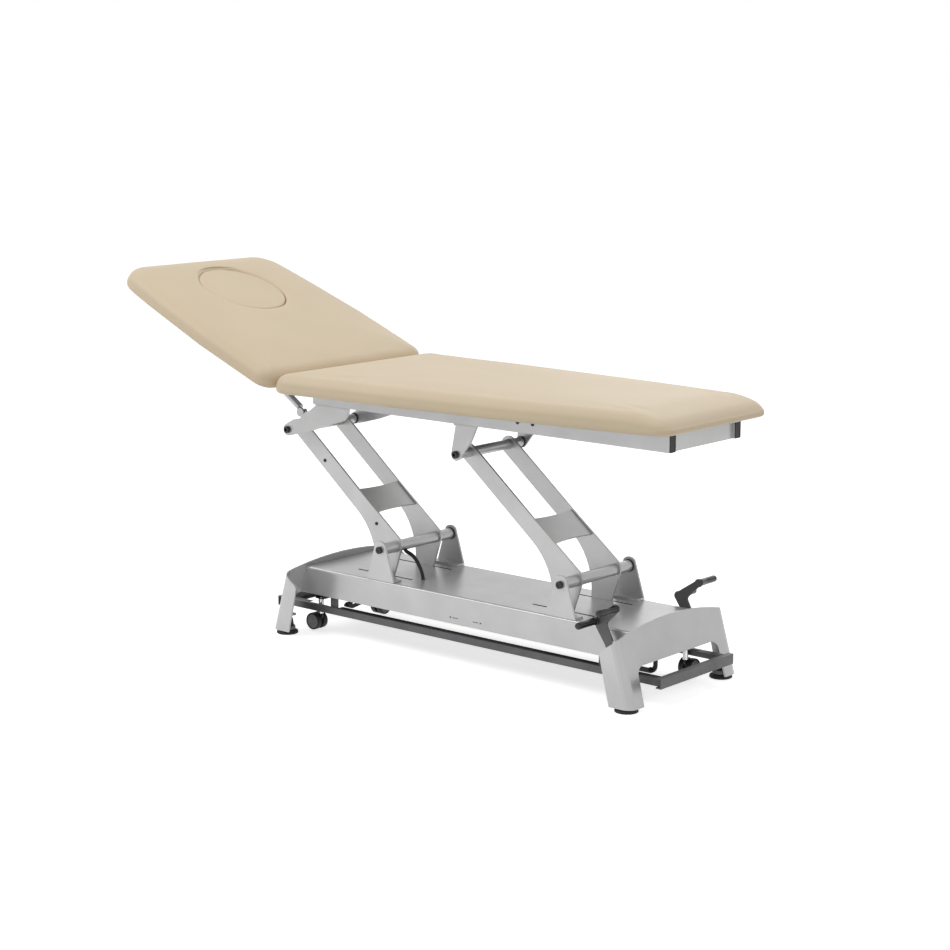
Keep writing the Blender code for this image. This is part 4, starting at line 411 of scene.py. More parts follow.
def edgeRings(height):  # inset and height round a pad's edge, from its underside up
    under, edge, fall = cushions["underRound"], cushions["edgeRound"], height * cushions["edgeFall"]
    rings = [(under * (1 - math.sin(a)), under * (1 - math.cos(a)))
             for a in (0, 0.2, 0.4, 0.6, 0.8, 1.0, 1.2, 1.4, 1.5708)]
    rings += [(0.0, height * 0.30)]
    rings += [(edge * (1 - math.cos(a)), height - fall * (1 - math.sin(a)))
              for a in (0.0, 0.13, 0.26, 0.39, 0.52, 0.65, 0.78, 0.91, 1.04, 1.17, 1.3, 1.43, 1.5708)]
    return rings


def bridge(bm, first, second):
    count = len(first)
    for i in range(count):
        j = (i + 1) % count
        bm.faces.new((first[i], first[j], second[j], second[i]))


def lathe(bm, profile, sides, closed=False):
    rings = []
    for out, rise in profile:
        spots = [(0.0, 0.0)] if out == 0 else [
            (out * math.cos(math.tau * i / sides), out * math.sin(math.tau * i / sides)) for i in range(sides)]
        rings.append([bm.verts.new((x, y, rise)) for x, y in spots])
    for first, second in zip(rings, rings[1:] + rings[:1] if closed else rings[1:]):
        if len(first) == len(second):
            bridge(bm, first, second)
            continue
        many, one = (first, second[0]) if len(second) == 1 else (second, first[0])
        for i, vert in enumerate(many):
            bm.faces.new((vert, many[(i + 1) % sides], one))


def plainObject(name, bm, finishName):
    mesh = bpy.data.meshes.new(name)
    bm.normal_update()
    bm.to_mesh(mesh)
    bm.free()
    mesh.materials.append(finish[finishName])
    mesh.shade_smooth()
    piece = bpy.data.objects.new(name, mesh)
    bpy.context.scene.collection.objects.link(piece)
    return piece


def buildPad(name, loop, height, hole=None):
    bm = bmesh.new()
    rings = []
    for inward, rise in edgeRings(height):
        moved = inset(loop, inward)
        rings.append([bm.verts.new((p.x, p.y, rise)) for p in moved])
    for first, second in zip(rings, rings[1:]):
        bridge(bm, first, second)
    top, low = rings[-1], rings[0]
    centre = Vector(hole[:2]) if hole else sum(loop, Vector((0, 0))) / len(loop)
    reach = hole[2] if hole else 0.0
    shares = cushions["holedShares" if hole else "plainShares"]
    last = top
    for share in shares:
        ring = []
        for vert in top:
            out = vert.co.xy - centre
            flat = centre + out.normalized() * (reach + (out.length - reach) * share)
            rise = height + cushions["crown"] * (1 - share ** 3)
            ring.append(bm.verts.new((flat.x, flat.y, rise)))
        bridge(bm, last, ring)
        last = ring
    if hole:
        crown = height + cushions["crown"]
        shoulder = plug["shoulder"]
        for a in (0.0, 0.3, 0.6, 0.9, 1.2, 1.5):
            radius = reach + shoulder * (1 - math.sin(a))
            rise = crown - shoulder * (1 - math.cos(a))
            ring = []
            for vert in top:
                out = (vert.co.xy - centre).normalized() * radius
                ring.append(bm.verts.new((centre.x + out.x, centre.y + out.y, rise)))
            bridge(bm, last, ring)
            last = ring
        for rise in (height * 0.55, 0.0):
            ring = []
            for vert in top:
                out = (vert.co.xy - centre).normalized() * reach
                ring.append(bm.verts.new((centre.x + out.x, centre.y + out.y, rise)))
            bridge(bm, last, ring)
            last = ring
        bridge(bm, last, low)
    else:
        middle = bm.verts.new((centre.x, centre.y, height + cushions["crown"]))
        for i, vert in enumerate(last):
            bm.faces.new((vert, last[(i + 1) % len(last)], middle))
        bm.faces.new(low[::-1])
    return plainObject(name, bm, "embossedVinyl")


def swellPad(piece, height):
    held = piece.vertex_groups.new(name="held")
    held.add([v.index for v in piece.data.vertices if v.co.z < height * 0.3], 1.0, "REPLACE")
    rest = [v.co.copy() for v in piece.data.vertices]
    cloth = piece.modifiers.new("cloth", "CLOTH")
    cloth.settings.use_pressure = True
    cloth.settings.uniform_pressure_force = cushions["swell"]
    cloth.settings.effector_weights.gravity = 0
    cloth.settings.vertex_group_mass = "held"
    for number in range(1, 21):
        bpy.context.scene.frame_set(number)
    done = piece.evaluated_get(bpy.context.evaluated_depsgraph_get()).to_mesh()
    for vert, start, now in zip(piece.data.vertices, rest, [v.co.copy() for v in done.vertices]):
        move = now - start
        vert.co = start + move * min(1, cushions["cap"] / max(move.length, 1e-9))
    piece.modifiers.remove(cloth)
    bpy.context.scene.frame_set(1)


def finishPad(piece, body, *nodes):
    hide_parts(*nodes)
    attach(piece, body)


def shiftX():
    return Matrix.Translation((table["shift"], 0, 0))


def onHead():  # from the head section's own level frame to its tilted place
    hinge = Matrix.Translation((table["hingeX"] + table["shift"], 0, table["cushionBase"] + cushions["hingeRise"]))
    return hinge @ Matrix.Rotation(table["headTilt"], 4, "Y") @ Matrix.Translation((0, 0, -cushions["hingeRise"]))


def makeBodyCushion():
    loop = padLoop(table["hingeX"] + cushions["bodySeam"], cushions["bodyEnd"], cushions["bodyWidths"],
                   cushions["seamCorner"], cushions["bodyCorner"])
    piece = buildPad("bodyCushion", loop, table["cushionHeight"])
    for vert in piece.data.vertices:
        share = max(0.0, (vert.co.x - cushions["bodyEnd"] + cushions["footRun"]) / cushions["footRun"])
        vert.co.z *= 1 - cushions["footFall"] / table["cushionHeight"] * min(1.0, share) ** 2
    swellPad(piece, table["cushionHeight"])
    piece.data.transform(shiftX() @ Matrix.Translation((0, 0, table["cushionBase"])))
    finishPad(piece, "top_frame", "body_cushion")


def makeHeadCushion():
    loop = padLoop(-cushions["bodySeam"], -cushions["headLength"], cushions["headWidths"],
                   cushions["seamCorner"], cushions["headCorner"])
    hole = (-plug["along"], 0.0, plug["radius"] + plug["gap"])
    piece = buildPad("headCushion", loop, table["cushionHeight"], hole)
    swellPad(piece, table["cushionHeight"])
    piece.data.transform(onHead())
    finishPad(piece, "head_section", "head_cushion")


def makeFacePlug():
    radius, height = plug["radius"], table["cushionHeight"]
    shoulder = plug["shoulder"]
    top = height + cushions["crown"] - 0.0004
    profile = [(radius * share, top + plug["crown"] * (1 - share ** 2) - 0.0028) for share in
               (0.0, 0.2, 0.4, 0.6, 0.78, 0.9)]
    profile += [(radius - shoulder * (1 - math.sin(a)), top - 0.0022 - shoulder * (1 - math.cos(a)))
                for a in (0.0, 0.3, 0.6, 0.9, 1.2, 1.57)]
    profile += [(radius, height * 0.4), (radius, 0.004), (radius - 0.004, 0.0), (0.0, 0.0)]
    bm = bmesh.new()
    lathe(bm, profile, plug["sides"])
    bmesh.ops.recalc_face_normals(bm, faces=bm.faces)
    piece = plainObject("facePlug", bm, "embossedVinyl")
    piece.data.transform(onHead() @ Matrix.Translation((-plug["along"], 0, 0)))
    finishPad(piece, "face_plug", "face_plug")


makeBodyCushion()
makeHeadCushion()
makeFacePlug()
print("stage: cushions")


# Felt under the boards and the staples that hold the vinyl

board = {"inset": 0.028, "holeRoom": 0.02, "below": 0.00025, "above": 0.002, "stapleStep": 0.045,
         "stapleLength": 0.010, "stapleWire": 0.0006, "stapleInset": 0.012}


def buildBoard(name, loop, hole=None):
    bm = bmesh.new()
    outline = inset(loop, board["inset"])
    low, high = -board["below"], board["above"]
    ringLow = [bm.verts.new((p.x, p.y, low)) for p in outline]
    ringHigh = [bm.verts.new((p.x, p.y, high)) for p in outline]
    bridge(bm, ringLow, ringHigh)
    if hole:
        centre, reach = Vector(hole[:2]), hole[2]
        ways = [(p - centre).normalized() * reach for p in outline]
        holeLow = [bm.verts.new((centre.x + w.x, centre.y + w.y, low)) for w in ways]
        holeHigh = [bm.verts.new((centre.x + w.x, centre.y + w.y, high)) for w in ways]
        bridge(bm, holeLow, ringLow)
        bridge(bm, ringHigh, holeHigh)
        bridge(bm, holeHigh, holeLow)
    else:
        bm.faces.new(ringLow[::-1])
        bm.faces.new(ringHigh)
    piece = plainObject(name, bm, "needleFelt")
    piece.data.set_sharp_from_angle(angle=0.6)
    return piece


# Geometry Nodes: hardware set on points, each with a facing direction

def newTree(name, inputs):
    tree = bpy.data.node_groups.new(name, "GeometryNodeTree")
    tree.interface.new_socket("Geometry", in_out="INPUT", socket_type="NodeSocketGeometry")
    for label, kind in inputs:
        tree.interface.new_socket(label, in_out="INPUT", socket_type="NodeSocket" + kind)
    tree.interface.new_socket("Geometry", in_out="OUTPUT", socket_type="NodeSocketGeometry")
    return tree, addNode(tree, "NodeGroupInput")


def hardwareTree():  # a turned head with a chamfer and a socket, one on each point
    tree, given = newTree("hardwareHeads", (
        ("Radius", "Float"), ("Height", "Float"), ("Chamfer", "Float"), ("Socket Radius", "Float"),
        ("Socket Depth", "Float"), ("Socket Sides", "Int"), ("Material", "Material"),
    ))
    straight = addNode(tree, "ShaderNodeMath", links={0: (given, "Height"), 1: (given, "Chamfer")},
                       operation="SUBTRACT")
    shaft = addNode(tree, "GeometryNodeMeshCylinder", {"Vertices": 36}, {
        "Radius": (given, "Radius"), "Depth": (straight, 0)})
    halfStraight = addNode(tree, "ShaderNodeMath", {1: 0.5}, {0: (straight, 0)}, operation="MULTIPLY")
    liftShaft = addNode(tree, "ShaderNodeCombineXYZ", links={"Z": (halfStraight, 0)})
    placedShaft = addNode(tree, "GeometryNodeTransform", links={
        "Geometry": (shaft, "Mesh"), "Translation": (liftShaft, 0)})
    narrow = addNode(tree, "ShaderNodeMath", links={0: (given, "Radius"), 1: (given, "Chamfer")}, operation="SUBTRACT")
    cone = addNode(tree, "GeometryNodeMeshCone", {"Vertices": 36}, {
        "Radius Top": (narrow, 0), "Radius Bottom": (given, "Radius"), "Depth": (given, "Chamfer")})
    liftCone = addNode(tree, "ShaderNodeCombineXYZ", links={"Z": (straight, 0)})
    placedCone = addNode(tree, "GeometryNodeTransform", links={
        "Geometry": (cone, "Mesh"), "Translation": (liftCone, 0)})
    body = addNode(tree, "GeometryNodeMeshBoolean", operation="UNION")
    tree.links.new(placedShaft.outputs[0], body.inputs["Mesh 2"])
    tree.links.new(placedCone.outputs[0], body.inputs["Mesh 2"])
    twice = addNode(tree, "ShaderNodeMath", {1: 2.0}, {0: (given, "Socket Depth")}, operation="MULTIPLY")
    tool = addNode(tree, "GeometryNodeMeshCylinder", links={
        "Vertices": (given, "Socket Sides"), "Radius": (given, "Socket Radius"), "Depth": (twice, 0)})
    liftTool = addNode(tree, "ShaderNodeCombineXYZ", links={"Z": (given, "Height")})
    placedTool = addNode(tree, "GeometryNodeTransform", links={
        "Geometry": (tool, "Mesh"), "Translation": (liftTool, 0)})
    head = addNode(tree, "GeometryNodeMeshBoolean", operation="DIFFERENCE")
    tree.links.new(body.outputs["Mesh"], head.inputs["Mesh 1"])
    tree.links.new(placedTool.outputs[0], head.inputs["Mesh 2"])
    facing = addNode(tree, "GeometryNodeInputNamedAttribute", {"Name": "facing"}, data_type="FLOAT_VECTOR")
    aim = addNode(tree, "FunctionNodeAlignEulerToVector", links={"Vector": (facing, 0)}, axis="Z")
    many = addNode(tree, "GeometryNodeInstanceOnPoints", links={
        "Points": (given, "Geometry"), "Instance": (head, "Mesh"), "Rotation": (aim, 0)})
    real = addNode(tree, "GeometryNodeRealizeInstances", links={"Geometry": (many, 0)})
    painted = addNode(tree, "GeometryNodeSetMaterial", links={"Geometry": (real, 0), "Material": (given, "Material")})
    addNode(tree, "NodeGroupOutput", links={"Geometry": (painted, 0)})
    return tree


def ribTree():  # a core tube along an edge path with rings at an even pitch
    tree, given = newTree("ribbedTube", (
        ("Core Radius", "Float"), ("Rib Radius", "Float"), ("Rib Wire", "Float"), ("Pitch", "Float"),
        ("Material", "Material"),
    ))
    path = addNode(tree, "GeometryNodeMeshToCurve", links={"Mesh": (given, "Geometry")})
    ring = addNode(tree, "GeometryNodeCurvePrimitiveCircle", {"Resolution": 24}, {"Radius": (given, "Core Radius")})
    core = addNode(tree, "GeometryNodeCurveToMesh", {"Fill Caps": True}, {
        "Curve": (path, 0), "Profile Curve": (ring, "Curve")})
    stops = addNode(tree, "GeometryNodeCurveToPoints", links={"Curve": (path, 0), "Length": (given, "Pitch")},
                    mode="LENGTH")
    hoop = addNode(tree, "GeometryNodeCurvePrimitiveCircle", {"Resolution": 28}, {"Radius": (given, "Rib Radius")})
    wire = addNode(tree, "GeometryNodeCurvePrimitiveCircle", {"Resolution": 8}, {"Radius": (given, "Rib Wire")})
    rib = addNode(tree, "GeometryNodeCurveToMesh", links={"Curve": (hoop, "Curve"), "Profile Curve": (wire, "Curve")})
    ribs = addNode(tree, "GeometryNodeInstanceOnPoints", links={
        "Points": (stops, "Points"), "Instance": (rib, 0), "Rotation": (stops, "Rotation")})
    both = addNode(tree, "GeometryNodeJoinGeometry")
    tree.links.new(core.outputs[0], both.inputs[0])
    tree.links.new(ribs.outputs[0], both.inputs[0])
    real = addNode(tree, "GeometryNodeRealizeInstances", links={"Geometry": (both, 0)})
    painted = addNode(tree, "GeometryNodeSetMaterial", links={"Geometry": (real, 0), "Material": (given, "Material")})
    addNode(tree, "NodeGroupOutput", links={"Geometry": (painted, 0)})
    return tree


def stapleTree():  # wire crowns laid along the board's edge at an even pitch
    tree, given = newTree("staples", (
        ("Pitch", "Float"), ("Length", "Float"), ("Wire", "Float"), ("Material", "Material"),
    ))
    path = addNode(tree, "GeometryNodeMeshToCurve", links={"Mesh": (given, "Geometry")})
    stops = addNode(tree, "GeometryNodeCurveToPoints", links={"Curve": (path, 0), "Length": (given, "Pitch")},
                    mode="LENGTH")
    crown = addNode(tree, "GeometryNodeMeshCylinder", {"Vertices": 8}, {
        "Radius": (given, "Wire"), "Depth": (given, "Length")})
    many = addNode(tree, "GeometryNodeInstanceOnPoints", links={
        "Points": (stops, "Points"), "Instance": (crown, "Mesh"), "Rotation": (stops, "Rotation")})
    real = addNode(tree, "GeometryNodeRealizeInstances", links={"Geometry": (many, 0)})
    painted = addNode(tree, "GeometryNodeSetMaterial", links={"Geometry": (real, 0), "Material": (given, "Material")})
    addNode(tree, "NodeGroupOutput", links={"Geometry": (painted, 0)})
    return tree


trees = {"heads": hardwareTree(), "ribs": ribTree(), "staples": stapleTree()}


def runTree(name, tree, mesh, values):  # runs a tree on a mesh and keeps a plain mesh
    maker = bpy.data.objects.new(name + "Maker", mesh)
    bpy.context.scene.collection.objects.link(maker)
    modifier = maker.modifiers.new("nodes", "NODES")
    modifier.node_group = tree
    sockets = {item.name: item.identifier for item in tree.interface.items_tree if item.in_out == "INPUT"}
    for label, value in values.items():
        modifier[sockets[label]] = value
    result = bpy.data.meshes.new_from_object(maker.evaluated_get(bpy.context.evaluated_depsgraph_get()))
    bpy.data.objects.remove(maker)
    result.name = name
    piece = bpy.data.objects.new(name, result)
    bpy.context.scene.collection.objects.link(piece)
    return piece


def headsOn(name, spots, facts, body):
    mesh = bpy.data.meshes.new(name + "Points")
    mesh.from_pydata([spot[0] for spot in spots], [], [])
    facing = mesh.attributes.new("facing", "FLOAT_VECTOR", "POINT")
    for item, spot in zip(facing.data, spots):
        item.vector = spot[1]
    piece = runTree(name, trees["heads"], mesh, {
        "Radius": facts["radius"], "Height": facts["height"], "Chamfer": facts["chamfer"],
        "Socket Radius": facts["socket"], "Socket Depth": facts["depth"], "Socket Sides": facts["sides"],
        "Material": finish[facts["finish"]],
    })
    piece.data.shade_smooth()
    piece.data.set_sharp_from_angle(angle=0.5)
    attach(piece, body)
    return piece


hardware = {
    "pivotBolt": {"radius": 0.0103, "height": 0.0087, "chamfer": 0.0018, "socket": 0.0046, "depth": 0.0006,
                  "sides": 6, "finish": "blackOxide"},
    "smallBolt": {"radius": 0.0050, "height": 0.0026, "chamfer": 0.0010, "socket": 0.0022, "depth": 0.0014,
                  "sides": 6, "finish": "blackOxide"},
    "lowBush": {"radius": 0.0176, "height": 0.0040, "chamfer": 0.0007, "socket": 0.0128, "depth": 0.0003,
                "sides": 32, "finish": "mouldedNylon"},
    "highBush": {"radius": 0.0158, "height": 0.0040, "chamfer": 0.0007, "socket": 0.0110, "depth": 0.0003,
                 "sides": 32, "finish": "mouldedNylon"},
}
# pivot bolts and bushes: x, z and the bracket's outer face of each lifter's lower and upper tube
pivots = {
    "head_lifter": ((-0.05300, 0.2810, 0.155), (-0.42575, 0.5850, 0.144)),
    "foot_lifter": ((0.59450, 0.2810, 0.155), (0.22175, 0.5850, 0.144)),
}
fixings = {
    "headGap": 0.0002, "bushBack": 0.0064,  # off the bracket's face, and behind it
    "armFace": 0.0880, "arm": ((-0.576, 0.497), (-0.373, 0.337)),
    "railFace": 0.1585, "railZ": 0.700, "rail": (0.204, 0.255),
}


def makeHardware():
    for body, spots in pivots.items():
        heads = [((x, side * (outer + fixings["headGap"]), z), (0, side, 0)) for x, z, outer in spots
                 for side in (-1, 1)]
        headsOn(body + "_bolts", heads, hardware["pivotBolt"], body)
        for (x, z, outer), kind in zip(spots, ("lowBush", "highBush")):
            bushes = [((x, side * (outer - fixings["bushBack"]), z), (0, -side, 0)) for side in (-1, 1)]
            headsOn(body + "_" + kind, bushes, hardware[kind], body)
    shift = table["shift"]
    arm = [((x + shift, -fixings["armFace"], z), (0, -1, 0)) for x, z in fixings["arm"]]
    headsOn("arm_bolts", arm, hardware["smallBolt"], "head_lifter")
    rail = [((x + shift, side * fixings["railFace"], fixings["railZ"]), (0, side, 0))
            for x in fixings["rail"] for side in (-1, 1)]
    headsOn("rail_bolts", rail, hardware["smallBolt"], "top_frame")


makeHardware()
print("stage: bolts and bushes")


def makeBoards():
    bodyLoop = padLoop(table["hingeX"] + cushions["bodySeam"], cushions["bodyEnd"], cushions["bodyWidths"],
                       cushions["seamCorner"], cushions["bodyCorner"])
    headLoop = padLoop(-cushions["bodySeam"], -cushions["headLength"], cushions["headWidths"],
                       cushions["seamCorner"], cushions["headCorner"])
    hole = (-plug["along"], 0.0, plug["radius"] + board["holeRoom"])
    bodyPlace = shiftX() @ Matrix.Translation((0, 0, table["cushionBase"]))
    for name, loop, opening, place, body in (
        ("bodyBoard", bodyLoop, None, bodyPlace, "top_frame"), ("headBoard", headLoop, hole, onHead(), "head_section"),
    ):
        felt = buildBoard(name, loop, opening)
        felt.data.transform(place)
        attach(felt, body)
        edge = inset(loop, board["inset"] + board["stapleInset"])
        path = bpy.data.meshes.new(name + "Path")
        path.from_pydata([(p.x, p.y, 0.0) for p in edge], [(i, (i + 1) % len(edge)) for i in range(len(edge))], [])
        staples = runTree(name + "Staples", trees["staples"], path, {
            "Pitch": board["stapleStep"], "Length": board["stapleLength"], "Wire": board["stapleWire"],
            "Material": finish["zincPlate"],
        })
        staples.data.transform(place)
        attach(staples, body)


makeBoards()
print("stage: boards")


# Fittings turned or moulded round an axis

def turnedPiece(name, profile, finishName, places, body, sides=48, closed=False):
    bm = bmesh.new()
    for place in places:
        before = len(bm.verts)
        lathe(bm, profile, sides, closed)
        bm.verts.ensure_lookup_table()
        bmesh.ops.transform(bm, matrix=place, verts=bm.verts[before:])
    bmesh.ops.recalc_face_normals(bm, faces=bm.faces)
    piece = plainObject(name, bm, finishName)
    piece.data.set_sharp_from_angle(angle=0.7)
    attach(piece, body)
    return piece


def steppedPlate(name, loop, steps, finishName, place, body):  # an outline carried through (inset, rise) steps
    bm = bmesh.new()
    rings = []
    for inward, rise in steps:
        moved = inset(loop, inward) if inward else loop
        rings.append([bm.verts.new((p.x, p.y, rise)) for p in moved])
    for first, second in zip(rings, rings[1:]):
        bridge(bm, first, second)
    bm.faces.new(rings[0][::-1])
    bm.faces.new(rings[-1])
    bmesh.ops.recalc_face_normals(bm, faces=bm.faces)
    piece = plainObject(name, bm, finishName)
    piece.data.transform(place)
    piece.data.set_sharp_from_angle(angle=0.5)
    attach(piece, body)
    return piece


def squareLoop(width, height, radius):
    w, h = width / 2, height / 2
    return roundedLoop([(-w, -h, radius), (w, -h, radius), (w, h, radius), (-w, h, radius)], 6)


# Castors: twin tyres with grey discs, a plate between them and a chromed stem

castors = {
    "reach": 0.550, "side": 0.137, "trail": 0.018, "axle": 0.030,  # profiles below: (out, up) in metres
    "yaws": {"head_near": 180, "head_far": -90, "foot_near": 180, "foot_far": 90},
    "tyre": ((0.006, 0.0048), (0.0238, 0.0048), (0.0250, 0.0060), (0.0250, 0.0184), (0.0244, 0.0198),
             (0.0230, 0.0205), (0.0214, 0.0202), (0.0208, 0.0192), (0.006, 0.0192)),
    "disc": ((0.0, 0.0206), (0.0052, 0.0206), (0.0058, 0.0201), (0.0062, 0.0198), (0.0150, 0.0200),
             (0.0188, 0.0197), (0.0203, 0.0191), (0.0203, 0.0180), (0.0, 0.0180)),
    "stem": ((0.0, 0.0530), (0.0066, 0.0530), (0.0075, 0.0540), (0.0075, 0.0900), (0.0082, 0.0905),
             (0.0082, 0.0935), (0.0075, 0.0940), (0.0075, 0.0968), (0.0, 0.0968)),
    "plate": ((-0.0078, 0.0536), (0.0085, 0.0536), (0.0240, 0.0500), (0.0330, 0.0430), (0.0340, 0.0330),
              (0.0275, 0.0225), (0.0180, 0.0200), (0.0085, 0.0240), (-0.0070, 0.0440)),
    "plateHalf": 0.0043, "plateEase": 0.001, "platePoints": 48,
}


def makeCastors():
    for label, yaw in castors["yaws"].items():
        end, side = label.split("_")
        x = castors["reach"] * (1 if end == "foot" else -1) + table["shift"]
        y = castors["side"] * (1 if side == "far" else -1)
        spin = Matrix.Translation((x, y, 0)) @ Matrix.Rotation(math.radians(yaw), 4, "Z")
        axle = spin @ Matrix.Translation((castors["trail"], 0, castors["axle"])) @ Matrix.Rotation(math.pi / 2, 4, "X")
        halves = [axle, axle @ Matrix.Rotation(math.pi, 4, "X")]
        wheels, fork = "castor_wheels_" + label, "castor_fork_" + label
        tyres = turnedPiece("castorTyres_" + label, castors["tyre"], "mouldedNylon", halves, wheels, 64, True)
        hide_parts(wheels)
        turnedPiece("castorDiscs_" + label, castors["disc"], "greyNylon", halves, wheels, 48)
        turnedPiece("castorStem_" + label, castors["stem"], "chromePlate", [spin], fork, 40)
        half, ease = castors["plateHalf"], castors["plateEase"]
        outline = evenLoop([Vector(p) for p in castors["plate"]][::-1], castors["platePoints"])
        upright = spin @ Matrix.Rotation(math.pi / 2, 4, "X")
        plate = steppedPlate("castorPlate_" + label, outline, (
            (ease, -half), (0.0, ease - half), (0.0, half - ease), (ease, half)), "mouldedNylon", upright, fork)
        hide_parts(fork)


makeCastors()
print("stage: castors")


# Levelling feet: rubber pad, grey collar, rubber cone and a threaded stem

feet = {
    "pad": ((0.0, 0.0), (0.0295, 0.0), (0.0312, 0.0014), (0.0312, 0.0045), (0.0300, 0.0078), (0.0258, 0.0106),
            (0.0218, 0.0120), (0.0, 0.0120)),
    "collar": ((0.0, 0.0121), (0.0220, 0.0121), (0.0232, 0.0132), (0.0232, 0.0205), (0.0220, 0.0222), (0.0, 0.0222)),
    "cone": ((0.0, 0.0223), (0.0186, 0.0223), (0.0184, 0.0255), (0.0164, 0.0400), (0.0152, 0.0448), (0.0128, 0.0474),
             (0.0095, 0.0484), (0.0, 0.0484)),
    "stemRadius": 0.0060, "threadDepth": 0.0006, "pitch": 0.0020, "threadFrom": 0.0485, "threadTo": 0.0915,
}


def makeFeet():
    turns = int((feet["threadTo"] - feet["threadFrom"]) / feet["pitch"])
    thread = [(0.0, feet["threadFrom"])]
    for turn in range(turns):
        rise = feet["threadFrom"] + turn * feet["pitch"]
        thread += [(feet["stemRadius"] - feet["threadDepth"], rise), (feet["stemRadius"], rise + feet["pitch"] / 2)]
    thread.append((0.0, feet["threadTo"]))
    for end in ("head", "foot"):
        for side in ("near", "far"):
            node = "levelling_foot_" + end + "_" + side
            low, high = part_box(node)
            place = [Matrix.Translation(((low[0] + high[0]) / 2, (low[1] + high[1]) / 2, 0))]
            label = end + "_" + side
            pad = turnedPiece("footPad_" + label, feet["pad"], "foamRubber", place, node, 56)
            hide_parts(node)
            turnedPiece("footCollar_" + label, feet["collar"], "greyNylon", place, node, 56)
            turnedPiece("footCone_" + label, feet["cone"], "foamRubber", place, node, 48)
            turnedPiece("footStem_" + label, thread, "zincPlate", place, node, 24)


makeFeet()
print("stage: levelling feet")


# Grips on the castor levers, and the screws that close the shaft's ends

grips = {
    "spots": ((0.4890, 0.2125), (0.5546, 0.2560)), "face": 0.1837, "shaft": (0.5536, 0.1250), "shaftEnd": 0.1863,
    "profile": ((0.0, 0.0), (0.0112, 0.0), (0.0116, 0.0008), (0.0116, 0.0042), (0.0106, 0.0050), (0.0097, 0.0056),
                (0.0097, 0.0074), (0.0101, 0.0082), (0.0101, 0.0112), (0.0095, 0.0122), (0.0093, 0.0400),
                (0.0093, 0.0735), (0.0089, 0.0766), (0.0076, 0.0787), (0.0045, 0.0798), (0.0, 0.0801)),
}
hardware["hubBolt"] = {"radius": 0.0085, "height": 0.0042, "chamfer": 0.0012, "socket": 0.0040, "depth": 0.0026,
                       "sides": 6, "finish": "blackOxide"}


def makeGrips():
    for label, side in (("near", -1), ("far", 1)):
        turn = Matrix.Rotation(-side * math.pi / 2, 4, "X")
        places = [Matrix.Translation((x + table["shift"], side * grips["face"], z)) @ turn for x, z in grips["spots"]]
        turnedPiece("leverGrips_" + label, grips["profile"], "dippedVinyl", places, "castor_lever", 40)
    x, z = grips["shaft"]
    ends = [((x + table["shift"], side * grips["shaftEnd"], z), (0, side, 0)) for side in (-1, 1)]
    headsOn("lever_bolts", ends, hardware["hubBolt"], "castor_lever")


makeGrips()
print("stage: grips")


# Moulded plugs that close the top rails

caps = {"rail": (0.0250, 0.0520), "railY": 0.1460, "railZ": 0.6993, "ends": (-0.5500, 0.6950), "round": 0.0035,
        "thick": 0.0026, "gap": 0.0001}


def makeCaps():
    width, height = caps["rail"]
    loop = squareLoop(width, height, caps["round"])
    thick = caps["thick"]
    steps = ((0.0, 0.0), (0.0, thick - 0.0008), (0.0008, thick), (0.0034, thick), (0.0040, thick - 0.0006))
    for x, way in ((caps["ends"][0], -1), (caps["ends"][1], 1)):
        for y, side in ((-caps["railY"], "near"), (caps["railY"], "far")):
            frameTurn = Matrix(((0, 0, way, 0), (way, 0, 0, 0), (0, 1, 0, 0), (0, 0, 0, 1)))
            place = Matrix.Translation((x + table["shift"] + way * caps["gap"], y, caps["railZ"])) @ frameTurn
            steppedPlate("railCap_" + ("foot" if way > 0 else "head") + "_" + side, loop, steps, "mouldedNylon",
                         place, "top_frame")


makeCaps()
print("stage: rail caps")


# Folded lips along the top of the control loop's bars, black as painted shade under the rail above

lips = {"outer": 0.1484, "top": 0.0840, "sheet": 0.0015, "spans": (  # start, end and inner edge
    (-0.690, -0.590, 0.1300), (-0.590, -0.510, 0.1462), (-0.470, 0.470, 0.1300), (0.510, 0.590, 0.1462),
    (0.590, 0.675, 0.1300))}


def makeShadedLips():
    for side, label in ((-1, "near"), (1, "far")):
        bm = bmesh.new()
        for start, end, inner in lips["spans"]:
            corners = []
            for x in (start, end):
                for y, z in ((lips["outer"], lips["top"]), (inner, lips["top"]),
                             (inner, lips["top"] - lips["sheet"]), (lips["outer"], lips["top"] - lips["sheet"])):
                    corners.append(bm.verts.new((x + table["shift"], side * y, z)))
            bridge(bm, corners[:4], corners[4:])
            bm.faces.new(corners[:4][::-1])
            bm.faces.new(corners[4:])
        bmesh.ops.recalc_face_normals(bm, faces=bm.faces)
        # painted shade: the black oxide colour stands for the rail's shadow on the lips
        piece = plainObject("loopShadeLip_" + label, bm, "blackOxide")
        piece.data.set_sharp_from_angle(angle=0.5)
        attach(piece, "control_loop")


makeShadedLips()
print("stage: loop lips")


# Ribbed power conduit: black nylon, from the lifter's lower tube down through the deck

conduit = {"y": -0.060, "ribRadius": 0.0051, "ribWire": 0.0006, "core": 0.0047, "pitch": 0.0030, "step": 0.004,
           "route": ((-0.0425, 0.2685), (-0.0389, 0.2642), (-0.0140, 0.2552), (0.0042, 0.2392), (0.0201, 0.2134),
                     (0.0265, 0.1920), (0.0265, 0.1740))}


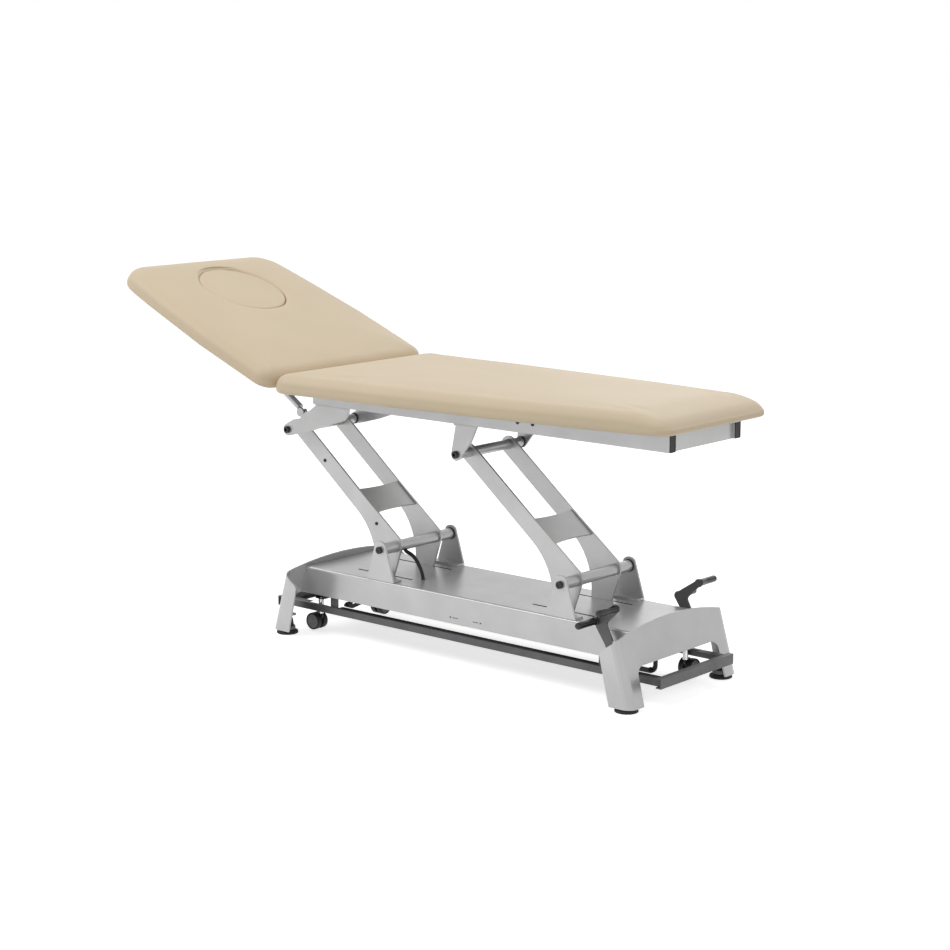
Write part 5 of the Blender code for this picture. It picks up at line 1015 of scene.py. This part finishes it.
def smoothRoute(points, step):
    route = [2 * points[0] - points[1]] + points + [2 * points[-1] - points[-2]]
    samples = []
    for index in range(1, len(route) - 2):
        before, first, second, after = route[index - 1:index + 3]
        count = max(1, round((second - first).length / step))
        for part in range(count):
            t = part / count
            bend = 2 * before - 5 * first + 4 * second - after
            twist = -before + 3 * first - 3 * second + after
            samples.append((2 * first + (second - before) * t + bend * t * t + twist * t ** 3) / 2)
    return samples + [points[-1]]


def makeConduit():
    points = smoothRoute([Vector((x, conduit["y"], z)) for x, z in conduit["route"]], conduit["step"])
    path = bpy.data.meshes.new("conduitPath")
    path.from_pydata([tuple(p) for p in points], [(i, i + 1) for i in range(len(points) - 1)], [])
    tube = runTree("ribbedConduit", trees["ribs"], path, {
        "Core Radius": conduit["core"], "Rib Radius": conduit["ribRadius"], "Rib Wire": conduit["ribWire"],
        "Pitch": conduit["pitch"], "Material": finish["mouldedNylon"],
    })
    tube.data.shade_smooth()
    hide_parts("conduit")
    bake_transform(tube)


makeConduit()
print("stage: conduit")


# Printed arrows on the near face of the base channel

marks = {"face": -0.1551, "z": 0.1300, "ink": 0.00012,
         "shapes": (((-0.0400, 0.0000), (-0.0330, 0.0032), (-0.0330, -0.0032)),
                    ((-0.0270, -0.0010), (-0.0270, 0.0010), (-0.0080, 0.0010), (-0.0080, -0.0010)),
                    ((0.0460, -0.0010), (0.0460, 0.0010), (0.0650, 0.0010), (0.0650, -0.0010)),
                    ((0.0780, 0.0000), (0.0710, -0.0032), (0.0710, 0.0032)))}


def makeMarks():
    bm = bmesh.new()
    for shape in marks["shapes"]:
        back = [bm.verts.new((x + table["shift"], marks["face"], marks["z"] + z)) for x, z in shape]
        front = [bm.verts.new((x + table["shift"], marks["face"] - marks["ink"], marks["z"] + z)) for x, z in shape]
        bridge(bm, back, front)
        bm.faces.new(back[::-1])
        bm.faces.new(front)
    bmesh.ops.recalc_face_normals(bm, faces=bm.faces)
    piece = plainObject("railArrows", bm, "blackOxide")
    piece.data.set_sharp_from_angle(angle=0.5)
    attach(piece, "base")


makeMarks()
print("stage: arrows")


# Close

print("stage: done")
